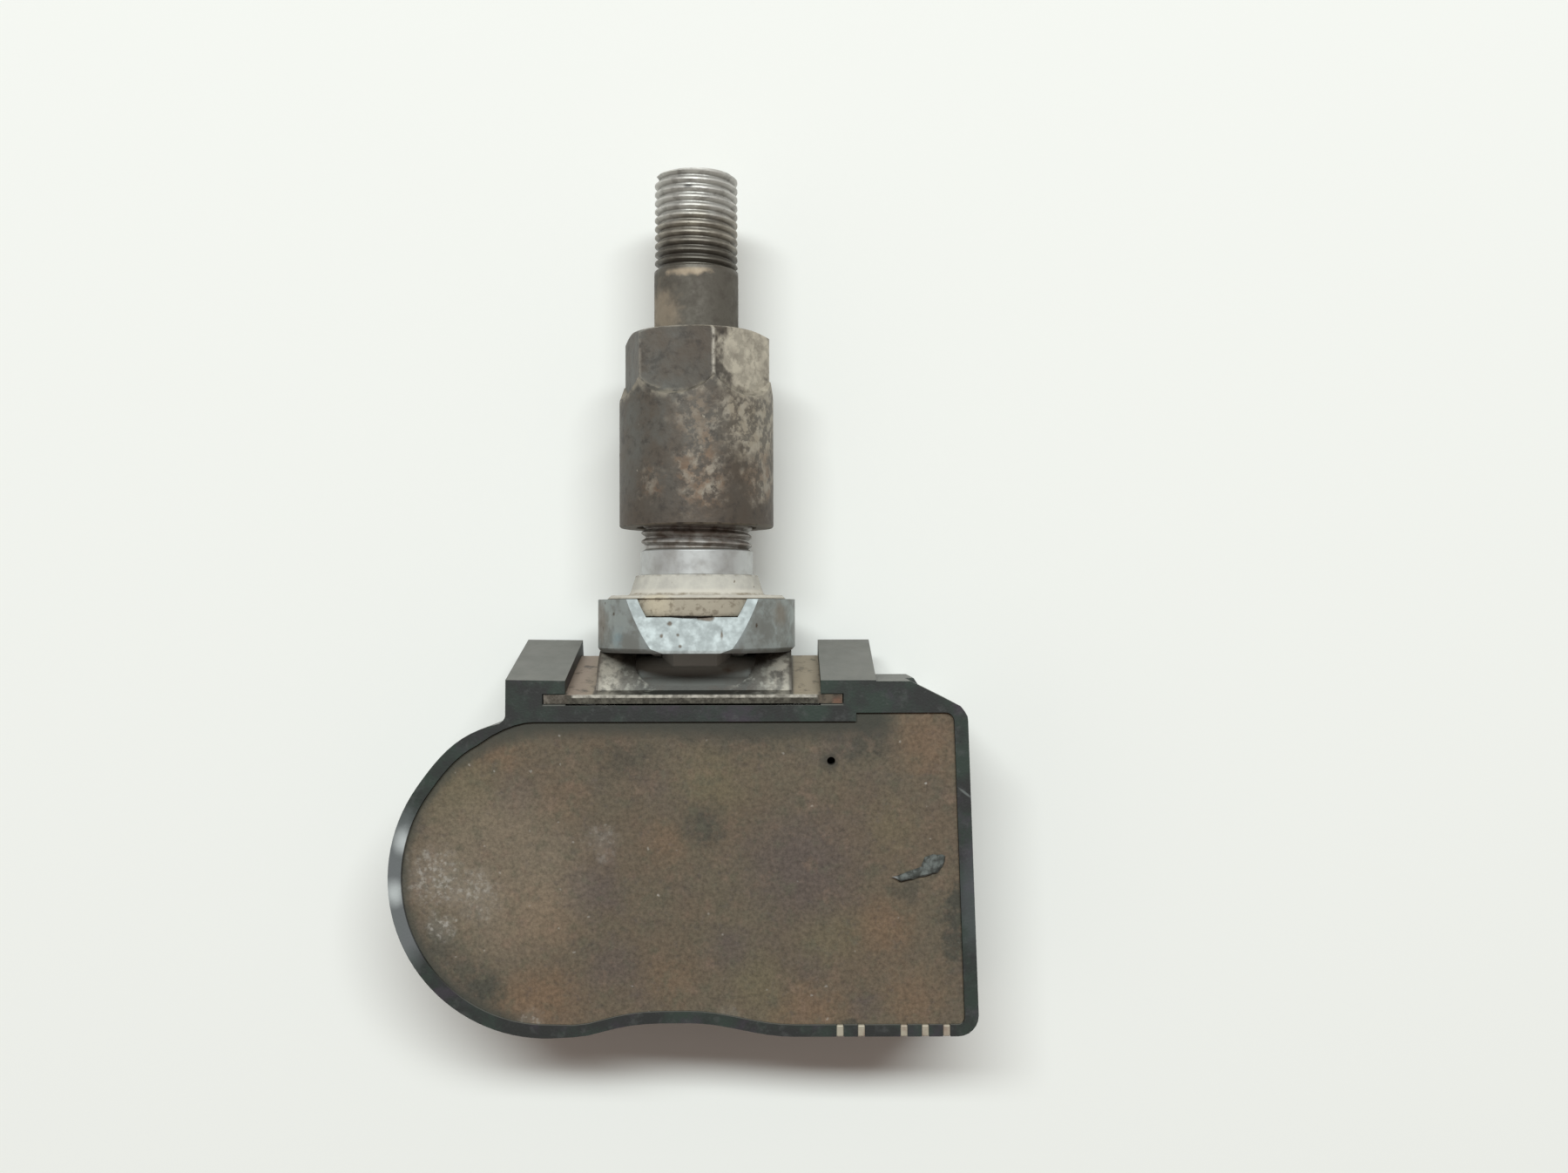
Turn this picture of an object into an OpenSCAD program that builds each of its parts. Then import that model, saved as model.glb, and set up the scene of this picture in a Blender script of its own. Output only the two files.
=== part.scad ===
// Clamp-in tyre pressure sensor with a swivelling valve stem, in millimetres.
// +Y runs along the stem to its tip, +Z is the side of the cast resin.
// The origin is on the stem's axis, halfway along its bare shank.

/* [Valve stem] */
// Diameter of the bare shank that stands in the wheel's hole
shank_d = 10.3; // [9.8:0.1:11]
// Length of the bare shank
shank_len = 2.16; // [1.6:0.02:3]
// Pitch diameter of the large thread that carries the nut
nut_thread_d = 9.9; // [9.4:0.05:10]
// Length of the large thread
nut_thread_len = 12; // [10:0.5:14]
// Diameter of the slim upper stem
upper_d = 7.72; // [7.4:0.02:8]
// Pitch diameter of the cap thread at the tip
cap_thread_d = 7.2; // [7:0.05:7.3]
// Length of the cap thread
cap_thread_len = 8.7; // [7:0.1:10]
// Distance from the middle of the bare shank to the tip
tip_y = 35.6; // [33:0.2:40]
// Diameter of the bore that takes the valve core
core_bore_d = 5.2; // [5:0.05:5.6]
// Diameter of the air passage
air_d = 2.4; // [2:0.1:2.8]

/* [Sleeve nut] */
// Length of the nut
nut_len = 17.6; // [16:0.1:20]
// Outer diameter of its round part
nut_d = 14.1; // [13.9:0.1:16]
// Width across the flats of its hexagon
nut_af = 12; // [11:0.1:12]
// Height of the hexagon
hex_len = 4.4; // [3.5:0.1:6]
// Turn of the hexagon about the stem, in degrees
hex_turn = -14; // [-30:1:30]
// Length of large thread left bare below the nut
bare_thread = 2.2; // [1.2:0.1:3]

/* [Grommet and collar] */
// Diameter of the grommet's neck at its top
neck_top_d = 11.4; // [11.2:0.1:12]
// Diameter of the grommet's neck at its flange
neck_low_d = 12.4; // [12:0.1:13]
// Height of the neck
neck_len = 1.84; // [1.4:0.02:2.4]
// Diameter of the grommet's flange
flange_d = 16; // [15:0.1:16.4]
// Height of the flange
flange_len = 1.96; // [1.5:0.02:2.4]
// Diameter of the collar
collar_d = 18; // [17.4:0.1:19]
// Height of the collar
collar_len = 4.74; // [4.2:0.02:5]
// Height of the collar's lip round the flange
collar_lip = 1.6; // [1.2:0.02:1.8]
// Distance of each slanting flat from the axis, at the lip
flat_near = 6.9; // [6.5:0.1:7.2]
// Distance of each slanting flat from the axis, at the foot
flat_far = 8.4; // [8:0.1:8.5]

/* [Swivel] */
// Outer radius of the bracket's pressed saddle
saddle_r = 5.2; // [5:0.05:5.4]
// Thickness of the bracket's sheet
sheet = 0.8; // [0.7:0.05:0.9]
// Length of the saddle across the stem
saddle_w = 17.3; // [16:0.1:17.6]
// Length of the saddle's slot across the stem
slot_w = 10.8; // [10:0.1:12]
// Height of the saddle's slot
slot_h = 8.3; // [8.1:0.1:8.6]
// Lean of the bracket towards the resin side, in degrees
lean = 16; // [14:0.5:16]
// Width of the bracket from tail to tail
bracket_w = 26.2; // [25:0.2:27]
// Height of the bracket along its plate
bracket_h = 11.3; // [10.8:0.1:11.6]
// Diameter of the bolt's neck
neck_d = 6.5; // [6:0.1:6.8]
// Width across the flats of the bolt's neck
neck_flats = 5.2; // [4.6:0.1:5.2]

/* [Housing] */
// Height of the housing
housing_h = 15; // [14:0.1:18]
// Height of the stem's axis above the underside
axis_h = 8.8; // [8.6:0.1:9.6]
// Length from the front wall to the straight back edge
body_len = 28.85; // [28:0.1:34]
// Radius of the round end
round_r = 13.9; // [13.6:0.05:14.4]
// Distance of the round end's centre from the stem's axis
round_x = 12.8; // [12:0.05:14]
// Distance of the square end from the stem's axis, at the front
side_x = 24.1; // [23.4:0.1:27]
// Extra reach of the square end at the back
side_flare = 0.8; // [0:0.1:1.5]
// Wall of the round end
wall_round = 1.15; // [1:0.05:1.6]
// Wall of the front
wall_front = 1.4; // [1.2:0.05:1.7]
// Wall of the square end
wall_side = 1.2; // [1:0.05:1.8]
// Wall of the back
wall_back = 1; // [0.8:0.05:1.4]
// Thickness of the floor
floor_t = 1.2; // [1:0.05:1.6]
// Width of the ledge that carries the circuit board
ledge = 0.8; // [0.6:0.05:1.2]
// Radius of the back corner
corner_r = 1.8; // [1:0.1:3]
// Depth of the hollow wave in the back edge
wave_depth = 1.2; // [0.6:0.1:1.6]
// Reach of the wave towards the square end
wave_half = 9.2; // [7:0.1:10]
// Reach of the wave towards the round end
wave_left = 10.1; // [8:0.1:11]
// Depth of the resin's face below the rim
resin_drop = 0.3; // [0.1:0.05:0.8]
// Diameter of the vent hole in the resin
vent_d = 0.7; // [0.5:0.05:1]

/* [Lugs] */
// Outer edge of the lug on the round end's side
lug_left = 16.4; // [15.8:0.1:17]
// Outer edge of the lug on the square end's side
lug_right = 16.07; // [15.8:0.01:17]
// Inner edge of both lugs
lug_in = 11.2; // [10.8:0.1:11.6]
// Thickness of a lug in front of the bracket
lug_front = 1.2; // [1:0.05:1.5]
// Width of the nose beside the lug
nose_w = 3; // [2:0.1:4]
// Radius where the lug meets the round end
fillet_r = 1.1; // [0.6:0.1:1.4]

/* [Inside] */
// Diameter of the coin cell
cell_d = 20; // [18:0.1:20.4]
// Height of the coin cell
cell_h = 5; // [3.2:0.1:5.2]
// Thickness of the battery strips
strip_t = 0.2; // [0.15:0.05:0.3]
// Width of the battery strips
strip_w = 4; // [3:0.1:5]
// Thickness of the circuit board
board_t = 1; // [0.8:0.05:1.6]
// Side of the pressure chip
chip_w = 5; // [4:0.1:6]
// Height of the pressure chip
chip_h = 1.5; // [1:0.05:2]
// Distance of the vent from the stem's axis
vent_x = 12.1; // [8:0.1:16]
// Distance of the vent behind the swivel's axis
vent_back = 4.74; // [4.4:0.1:8]
// Spacing of the test contacts
contact_pitch = 1.86; // [1.6:0.02:1.9]
// Width of a test contact
contact_w = 0.65; // [0.5:0.05:0.8]
// Distance of the first test contact from the stem's axis
contact_x = 12.8; // [12:0.1:13]

/* [Valve core] */
// Depth of the core's head below the tip
core_drop = 0.6; // [0.4:0.05:1]
// Length of the core's threaded head
core_head = 3.5; // [3:0.1:4]
// Length of the core's barrel
core_barrel = 5; // [4.6:0.1:6]
// Travel of the core's pin
pin_travel = 1.5; // [1:0.1:1.8]
// Wire of the core's spring
wire = 0.3; // [0.2:0.05:0.35]

/* [Hidden] */
$fn = 96;

// Clearances
play = 0.05;        // radial play of the swivel and of the nut's thread
snug = 0.05;        // gap round a piece that is set in resin or pressed in
loose = 0.3;        // gap round a piece that moves freely
cut = 0.02;         // overrun of a cutting shape
reach = 20;         // length of a shape that is trimmed by another

// Places along the stem
shank_top = shank_len / 2;
seat_top = -shank_len / 2;
step_y = shank_top + nut_thread_len;
step_len = 1;
cap_thread_y = tip_y - cap_thread_len;
nut_y = shank_top + bare_thread;
nut_top = nut_y + nut_len;
nut_lip = 2.8;
runout_len = 1.1;
flange_top = seat_top - neck_len;
flange_low = flange_top - flange_len;
collar_low = flange_low + collar_lip - collar_len;
seat_d = shank_d - 0.5;
web_top = collar_low + 1.44;

// Swivel
pivot_y = collar_low - (saddle_r - 0.44);
saddle_in = saddle_r - sheet;
head_r = saddle_in - play;
end_play = 0.35;
head_w = saddle_w - 2 * sheet - 2 * end_play;
head_foot = 1.2;
plate_front = saddle_r - 2.43;
plate_back = plate_front - sheet;
web_hole_d = neck_d + 0.3;
bolt_shank_d = 5.2;
bolt_shank_len = 6;
slot_corner = 2;

// Housing, measured from the swivel's axis
front_y = pivot_y + 0.16;
cavity_y = front_y - wall_front;
back_y = front_y - body_len;
round_y = back_y + round_r - 0.1;
rim_z = housing_h - axis_h;
under_z = -axis_h;
floor_z = under_z + floor_t;
resin_z = rim_z - resin_drop;
wave_x = -0.4;
wave_steps = 16;
wave_bend = 1.9;
corner_steps = 6;
nose_x = lug_right + nose_w;
nose_y = front_y + 2.1;
toe_w = 0.8;
toe_slant = 0.6;
toe_depth = 0.9;
nook_x = 14.3;
nook_depth = 0.75;
nook_r = 0.8;
shoulder_turn = 124;
shoulder_slope = 42;
shoulder_dip = 0.25;
shoulder_len = 2.2;

// Stack inside the housing
cell_x = -round_x;
cell_y = round_y;
cell_z = floor_z + strip_t;
board_low = cell_z + cell_h + strip_t;
board_top = board_low + board_t;
pocket_r = head_r + loose;
pocket_back = 1.5;
pocket_wall = 0.6;
pocket_side = 0.8;
pocket_x = saddle_w / 2 + pocket_side;
port_depth = 0.6;

// Bracket and its seat in the lugs
tail_play = 0.1;
seat_floor = 1.2;
lug_low = bracket_h / 2 + seat_floor;

// Valve core
core_top = tip_y - core_drop;
barrel_top = core_top - core_head;
barrel_low = barrel_top - core_barrel;
barrel_d = 3.5;
barrel_in = 2.5;
lip_t = 0.5;
pin_d = 1.1;
pin_hole = 1.5;
pin_collar = 0.4;
cup_len = 1;
chamber_d = 4.2;
chamber_spare = 3.5;
chamber_y = barrel_low - cup_len - pin_travel - chamber_spare;

// A disc or a bar along the stem, from one place to another
module along(y0, y1, d) {
    translate([0, y0, 0]) rotate([-90, 0, 0]) cylinder(h = y1 - y0, d = d);
}

// A cone along the stem
module cone(y0, y1, d0, d1) {
    translate([0, y0, 0]) rotate([-90, 0, 0]) cylinder(h = y1 - y0, d1 = d0, d2 = d1);
}

// A bar along the swivel's axis
module across(r, w) {
    translate([-w / 2, pivot_y, 0]) rotate([0, 90, 0]) cylinder(h = w, r = r);
}

// A block given by two corners
module block(a, b) {
    translate(a) cube([b[0] - a[0], b[1] - a[1], b[2] - a[2]]);
}

// Sets its children in the bracket's plane: Y is the plate's normal, from the swivel
module leaning() {
    translate([0, pivot_y, 0]) rotate([lean, 0, 0]) children();
}

// Plan of the housing, every wall moved in by its own share
function corner(cx, cy, r, start = -90) = [for (i = [0 : corner_steps])
    let (a = start + 90 * i / corner_steps) [cx + r * cos(a), cy + r * sin(a)]];
function wave(in_y) = [for (i = [0 : wave_steps])
    let (t = -1 + 2 * i / wave_steps,
        half = t < 0 ? wave_left : wave_half,
        turn = t < 0 ? 180 * pow(-t, wave_bend) : 180 * t)
    [wave_x + half * t, back_y + in_y + wave_depth * (1 + cos(turn)) / 2]];

// Curve from the round end into the front wall; it starts a little inside the round
function shoulder(r, front) =
    let (start = r - shoulder_dip,
        a = [-round_x + start * cos(shoulder_turn), round_y + start * sin(shoulder_turn)],
        b = [a[0] + (front - a[1]) / tan(shoulder_slope), front],
        c = [b[0] + shoulder_len, front])
    [for (i = [0 : corner_steps]) let (t = i / corner_steps)
        (1 - t) * (1 - t) * c + 2 * t * (1 - t) * b + t * t * a];

module plan(in_round, in_side, in_back, front_points) {
    translate([-round_x, round_y]) circle(r = round_r - in_round, $fn = 120);
    r = max(corner_r - in_side, 0.3);
    polygon(concat(
        [[-round_x, round_y - round_r + in_round]],
        wave(in_back),
        corner(side_x + side_flare - in_side - r, back_y + in_back + r, r),
        front_points));
}

module housing_plan() {
    plan(0, 0, 0, [[side_x, cavity_y], [-round_x, cavity_y]]);
    polygon([
        [-lug_left, cavity_y - 2], [-lug_left, front_y], [lug_right, front_y],
        [lug_right, nose_y], [nose_x, nose_y],
        [side_x - 0.65, front_y - 0.1], [side_x - 0.3, front_y - 0.55],
        [side_x - 0.05, front_y - 1], [side_x, cavity_y], [side_x, cavity_y - 2]]);
    // fillet between the lug and the round end, sunk a little into both
    offset_x = lug_left + fillet_r - round_x;
    fillet_y = round_y + sqrt(pow(round_r + fillet_r, 2) - pow(offset_x, 2));
    sweep = atan2(fillet_y - round_y, offset_x);
    polygon(concat(
        [for (i = [0 : corner_steps]) let (a = -sweep * i / corner_steps)
            [-lug_left - fillet_r + (fillet_r + cut) * cos(a), fillet_y + (fillet_r + cut) * sin(a)]],
        [[-lug_left + fillet_r, fillet_y - 2 * fillet_r]]));
}

// Small step at the foot of the nose
module toe_plan() {
    polygon([
        [nose_x - 1, front_y], [nose_x - 1, nose_y], [nose_x + toe_w, nose_y],
        [nose_x + toe_w + toe_slant, nose_y - toe_depth], [nose_x, front_y]]);
}

module upper_plan(extra = 0) {
    front = cavity_y - extra;
    side = side_x - wall_side - extra;
    plan(wall_round + extra, wall_side + extra, wall_back + extra, concat(
        corner(side - nook_r, front + nook_depth - nook_r, nook_r, 0),
        [[nook_x + extra, front + nook_depth], [nook_x + extra, front]],
        shoulder(round_r - wall_round - extra, front)));
}

// Block that keeps the pocket's walls out of the hollow
module pocket_block(gap = 0) {
    block([-pocket_x - gap, pivot_y - pocket_back - pocket_wall - gap, under_z],
        [pocket_x + gap, front_y + 2, pocket_r + pocket_wall]);
}

// One lug: a leaning wall with an open-topped slot behind it
module lug(x0, x1) {
    intersection() {
        leaning() block([x0, -4, -lug_low], [x1, plate_front + lug_front, reach]);
        block([x0, front_y - 1, under_z], [x1, front_y + reach, rim_z]);
    }
}

module tail_slot(x0, x1) {
    leaning() block([x0, plate_back - tail_play, -bracket_h / 2 - tail_play],
        [x1, plate_front + tail_play, reach]);
}

module vent_column(d, top) {
    translate([vent_x, pivot_y - vent_back, board_low]) cylinder(h = top - board_low, d = d);
}

module contact_at(i) {
    slot = i < 2 ? i : i + 1;
    translate([contact_x + contact_pitch * slot, back_y + wall_back, 0]) children();
}

module housing() {
    color([0.19, 0.19, 0.18]) difference() {
        union() {
            translate([0, 0, under_z]) linear_extrude(housing_h) housing_plan();
            translate([0, 0, under_z]) linear_extrude(axis_h) toe_plan();
            lug(-lug_left, -lug_in);
            lug(lug_in, lug_right);
        }
        difference() {
            union() {
                translate([0, 0, board_low]) linear_extrude(housing_h) upper_plan();
                translate([0, 0, floor_z]) linear_extrude(housing_h) upper_plan(ledge);
            }
            pocket_block();
        }
        // room for the swivelling head
        intersection() {
            across(pocket_r, saddle_w + 0.4);
            block([-reach, pivot_y - pocket_back, -reach], [reach, pivot_y + reach, reach]);
        }
        tail_slot(-bracket_w / 2 - tail_play, -lug_in + 1);
        tail_slot(lug_in - 1, bracket_w / 2 + tail_play);
        leaning() block([-lug_in, plate_back - tail_play, -bracket_h / 2 - tail_play],
            [lug_in, plate_front + 2, reach]);
        for (i = [0 : 4]) contact_at(i) {
            block([-contact_w / 2, -contact_t, board_top], [contact_w / 2, 1, rim_z + 1]);
            block([-contact_w / 2, -wall_back - 1, rim_z - contact_t], [contact_w / 2, 1, rim_z + 1]);
        }
    }
}

module potting() {
    color([0.42, 0.37, 0.31]) difference() {
        translate([0, 0, board_top]) linear_extrude(resin_z - board_top) upper_plan();
        pocket_block();
        vent_column(vent_d, resin_z + 1);
        vent_column(port_d + 2 * snug, resin_z - port_depth);
        translate([vent_x, pivot_y - vent_back, board_top - cut])
            block([-chip_w / 2 - snug, -chip_w / 2 - snug, 0],
                [chip_w / 2 + snug, chip_w / 2 + snug, chip_h + snug + cut]);
        coil_place() block([-coil_l / 2 - snug, -coil_w / 2 - snug, -cut],
            [coil_l / 2 + snug, coil_w / 2 + snug, coil_h + snug]);
        crystal_place() block([-crystal_l / 2 - snug, -crystal_w / 2 - snug, -cut],
            [crystal_l / 2 + snug, crystal_w / 2 + snug, small_h + snug]);
        for (i = [0 : 4]) capacitor_place(i)
            block([-cap_l / 2 - snug, -cap_w / 2 - snug, -cut],
                [cap_l / 2 + snug, cap_w / 2 + snug, small_h + snug]);
        antenna_place() antenna_shape(snug);
        for (i = [0 : 4]) contact_at(i)
            block([-contact_w / 2 - snug, -cut, board_top - cut],
                [contact_w / 2 + snug, contact_foot + snug, board_top + contact_t + snug]);
    }
}

module bracket() {
    color([0.62, 0.58, 0.52]) difference() {
        union() {
            leaning() block([-bracket_w / 2, plate_back, -bracket_h / 2],
                [bracket_w / 2, plate_front, bracket_h / 2]);
            intersection() {
                across(saddle_r, saddle_w);
                leaning() block([-reach, plate_back, -reach], [reach, reach, reach]);
            }
        }
        across(saddle_in, saddle_w - 2 * sheet);
        leaning() rotate([-90, 0, 0]) linear_extrude(reach)
            rounded_slot(slot_w, slot_h, slot_corner);
    }
}

// A rectangle with round corners, made of two bars and four discs
module rounded_slot(w, h, r) {
    square([w - 2 * r, h], center = true);
    square([w, h - 2 * r], center = true);
    for (x = [-1, 1], y = [-1, 1])
        translate([x * (w / 2 - r), y * (h / 2 - r)]) circle(r = r, $fn = 32);
}

module pivot_bolt() {
    color([0.25, 0.23, 0.2]) difference() {
        union() {
            intersection() {
                across(head_r, head_w);
                block([-reach, pivot_y + head_foot, -reach], [reach, pivot_y + reach, reach]);
            }
            intersection() {
                along(pivot_y + head_foot, web_top, neck_d);
                block([-neck_d, pivot_y, -neck_flats / 2], [neck_d, web_top + 1, neck_flats / 2]);
            }
            along(web_top - 0.5, web_top + bolt_shank_len, bolt_shank_d - 2 * play);
        }
        along(pivot_y - 1, web_top + bolt_shank_len + 1, air_d);
    }
}

module collar() {
    slant = (flat_far - flat_near) / collar_len;
    color([0.6, 0.62, 0.62]) difference() {
        union() {
            along(collar_low + 0.4, collar_low + collar_len, collar_d);
            cone(collar_low, collar_low + 0.4, collar_d - 0.5, collar_d);
        }
        along(flange_low, collar_low + collar_len + 1, flange_d + 0.8);
        along(web_top, flange_low + 1, seat_d + 2 * play);
        along(collar_low - 1, web_top + 1, web_hole_d);
        across(saddle_r + play, collar_d + 2);
        for (side = [0, 1]) mirror([0, 0, side]) rotate([90, 0, 90])
            linear_extrude(collar_d + 4, center = true) polygon([
                [collar_low - 1, flat_far + slant], [collar_low - 1, collar_d],
                [collar_low + collar_len + 1, collar_d],
                [collar_low + collar_len + 1, flat_near - slant]]);
    }
}

module grommet() {
    color([0.8, 0.79, 0.75]) difference() {
        union() {
            cone(flange_top, seat_top, neck_low_d, neck_top_d);
            along(flange_low + 0.4, flange_top, flange_d);
            cone(flange_low, flange_low + 0.4, flange_d - 0.8, flange_d);
        }
        along(flange_low - 1, seat_top + 1, seat_d);
    }
}

module valve_stem() {
    color([0.5, 0.48, 0.45]) difference() {
        union() {
            along(web_top, seat_top + cut, seat_d);
            along(seat_top, shank_top, shank_d);
            along(shank_top - cut, step_y, nut_thread_d);
            cone(step_y, step_y + step_len, nut_thread_d, upper_d);
            along(step_y + step_len - cut, cap_thread_y, upper_d);
            along(cap_thread_y - cut, tip_y - 0.5, cap_thread_d);
            cone(tip_y - 0.5, tip_y, cap_thread_d, cap_thread_d - 0.8);
        }
        along(barrel_top - 1, tip_y + 1, core_bore_d);
        cone(barrel_top - 1.6, barrel_top - 1, chamber_d, core_bore_d);
        along(chamber_y, barrel_top - 1.5, chamber_d);
        along(web_top - 1, tip_y, air_d);
        along(web_top - 1, web_top + bolt_shank_len + 0.5, bolt_shank_d);
    }
}

module sleeve_nut() {
    hex_y = nut_top - hex_len;
    color([0.32, 0.29, 0.27]) difference() {
        intersection() {
            union() {
                along(nut_y, hex_y - runout_len, nut_d);
                cone(hex_y - runout_len - cut, hex_y, nut_d, nut_af);
                translate([0, nut_y + 1, 0]) rotate([0, hex_turn, 0]) rotate([-90, 0, 0])
                    cylinder(h = nut_len - 1, d = nut_af / cos(30), $fn = 6);
            }
            union() {
                along(nut_y + 0.3, nut_top - 0.5, nut_d);
                cone(nut_y, nut_y + 0.3, nut_d - 0.6, nut_d);
                cone(nut_top - 0.5, nut_top, nut_af / cos(30), nut_af);
            }
        }
        along(nut_y - 1, nut_top - nut_lip, nut_thread_d + 2 * play);
        cone(nut_y - cut, nut_y + 0.6, nut_thread_d + 1.2, nut_thread_d);
        along(nut_y, nut_top + 1, upper_d + 2 * loose);
    }
}

module core_body() {
    color([0.72, 0.6, 0.3]) difference() {
        union() {
            along(barrel_top, core_top, core_bore_d - 2 * play);
            along(barrel_low, barrel_top + cut, barrel_d);
        }
        along(barrel_low - 1, core_top + 1, pin_hole);
        along(barrel_low + lip_t, barrel_top, barrel_in);
        // two flats for the core's key
        for (side = [-1, 1]) translate([side * core_bore_d / 2, core_top - 1, 0])
            cube([1.8, 2.02, core_bore_d], center = true);
    }
}

module core_seal() {
    color([0.15, 0.15, 0.15]) difference() {
        along(barrel_top - 0.9, barrel_top, core_bore_d - 2 * snug);
        along(barrel_top - 2, barrel_top + 1, barrel_d);
    }
}

module core_pin() {
    color([0.75, 0.65, 0.35]) union() {
        along(barrel_low - cup_len, core_top + 0.3, pin_d);
        along(barrel_top - pin_collar - play, barrel_top - play, barrel_in - 0.3);
        cone(barrel_low - cup_len, barrel_low - play, barrel_d - 1, barrel_d - 0.2);
    }
}

// Section of the spring's wire across its axis: one wire drawn out along its own turn
spring_low = barrel_low + lip_t;
spring_top = barrel_top - pin_collar - play;
spring_turns = 6;
spring_mid = (pin_d + barrel_in) / 4;
function wire_arc() = 180 * wire * spring_turns / (spring_top - spring_low);
function wire_points(side) = [for (i = [0 : 5])
    let (t = side * (1 - i / 2.5), a = wire_arc() * t,
        r = spring_mid + side * wire / 2 * sqrt(max(0.04, 1 - t * t)))
    [r * cos(a), r * sin(a)]];

module core_spring() {
    color([0.6, 0.6, 0.6]) translate([0, spring_low, 0]) rotate([-90, 0, 0])
        linear_extrude(spring_top - spring_low, twist = -360 * spring_turns, slices = 90,
            $fn = 12) polygon(concat(wire_points(1), wire_points(-1)));
}

module in_cell(d, z0, z1) {
    translate([cell_x, cell_y, cell_z + z0]) cylinder(h = z1 - z0, d = d);
}

module battery_can() {
    color([0.7, 0.7, 0.7]) difference() {
        in_cell(cell_d, 0.2, cell_h);
        in_cell(cell_d - 0.6, 0.1, cell_h - 0.3);
    }
}

module battery_cap() {
    color([0.66, 0.66, 0.66]) union() {
        in_cell(cell_d - 2.2, 0, 0.6);
        in_cell(cell_d - 1.6, 0.5, cell_h - 0.5);
    }
}

module battery_gasket() {
    color([0.1, 0.1, 0.1]) difference() {
        in_cell(cell_d - 0.7, 0.2, cell_h - 0.4);
        in_cell(cell_d - 1.5, 0.1, cell_h);
    }
}

module tab_positive() {
    color([0.75, 0.74, 0.7]) block([cell_x - 4, cell_y - strip_w / 2, board_low - strip_t],
        [cell_x + cell_d / 2 + 3, cell_y + strip_w / 2, board_low]);
}

module tab_negative() {
    post_x = cell_x + cell_d / 2 + 1.2;
    color([0.75, 0.74, 0.7]) translate([0, -strip_w - 1, 0]) union() {
        block([cell_x - 2, cell_y - strip_w / 2, floor_z],
            [post_x, cell_y + strip_w / 2, floor_z + strip_t]);
        block([post_x - strip_t, cell_y - strip_w / 2, floor_z],
            [post_x, cell_y + strip_w / 2, board_low]);
    }
}

module circuit_board() {
    color([0.1, 0.35, 0.2]) difference() {
        translate([0, 0, board_low]) linear_extrude(board_t) upper_plan(snug);
        pocket_block(snug);
    }
}

module sensor_chip() {
    color([0.12, 0.12, 0.12]) translate([vent_x, pivot_y - vent_back, board_top]) difference() {
        block([-chip_w / 2, -chip_w / 2, 0], [chip_w / 2, chip_w / 2, chip_h]);
        translate([0, 0, chip_h - 0.6]) cylinder(h = 1, d = vent_d);
    }
}

module port_seal() {
    color([0.3, 0.3, 0.3]) difference() {
        vent_column(port_d, resin_z - port_depth);
        vent_column(port_d + 1, board_top + chip_h);
        vent_column(vent_d, resin_z);
    }
}

// Small parts on the board
port_d = vent_d + 1.1;
small_h = 0.8;
crystal_l = 3.2;
crystal_w = 2.5;
crystal_at = [6.2, -7];
cap_l = 1.6;
cap_w = 0.8;
cap_at = [-6, -9];
cap_pitch = 2.4;
coil_l = 8;
coil_w = 3.2;
coil_h = 2.8;
coil_wire = 0.5;
contact_t = 0.3;
contact_foot = 1;
antenna_l = 14;
antenna_h = 3.5;

module coil_place() {
    translate([vent_x + 1.5, back_y + wall_back + 5.5, board_top]) children();
}

module crystal_place() {
    translate([vent_x + crystal_at[0], pivot_y - vent_back + crystal_at[1], board_top]) children();
}

module capacitor_place(i) {
    translate([vent_x + cap_at[0] + cap_pitch * i, pivot_y - vent_back + cap_at[1], board_top])
        children();
}

module antenna_place() {
    translate([-2, pivot_y - vent_back - 4, board_top]) children();
}

// A low bridge of strip, with a foot at each end
module antenna_shape(gap = 0) {
    difference() {
        block([-antenna_l / 2 - gap, -0.4 - gap, -gap],
            [antenna_l / 2 + gap, 0.4 + gap, antenna_h + gap]);
        block([-antenna_l / 2 + 0.6 + gap, -2, -1],
            [antenna_l / 2 - 0.6 - gap, 2, antenna_h - 0.6 - gap]);
    }
}

module coil_core() {
    color([0.2, 0.2, 0.22]) coil_place() union() {
        block([-coil_l / 2, -coil_w / 2, 0], [-coil_l / 2 + 1, coil_w / 2, coil_h]);
        block([coil_l / 2 - 1, -coil_w / 2, 0], [coil_l / 2, coil_w / 2, coil_h]);
        block([-coil_l / 2, -coil_w / 2 + coil_wire, coil_wire],
            [coil_l / 2, coil_w / 2 - coil_wire, coil_h - coil_wire]);
    }
}

module coil_winding() {
    color([0.72, 0.4, 0.2]) coil_place() difference() {
        block([-coil_l / 2 + 1, -coil_w / 2 + 0.1, 0.1],
            [coil_l / 2 - 1, coil_w / 2 - 0.1, coil_h - 0.1]);
        block([-coil_l / 2, -coil_w / 2 + coil_wire, coil_wire],
            [coil_l / 2, coil_w / 2 - coil_wire, coil_h - coil_wire]);
    }
}

module crystal() {
    color([0.75, 0.75, 0.72]) crystal_place()
        block([-crystal_l / 2, -crystal_w / 2, 0], [crystal_l / 2, crystal_w / 2, small_h]);
}

module capacitors() {
    color([0.6, 0.5, 0.4]) for (i = [0 : 4]) capacitor_place(i)
        block([-cap_l / 2, -cap_w / 2, 0], [cap_l / 2, cap_w / 2, small_h]);
}

module rf_antenna() {
    color([0.72, 0.68, 0.5]) antenna_place() antenna_shape();
}

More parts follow.
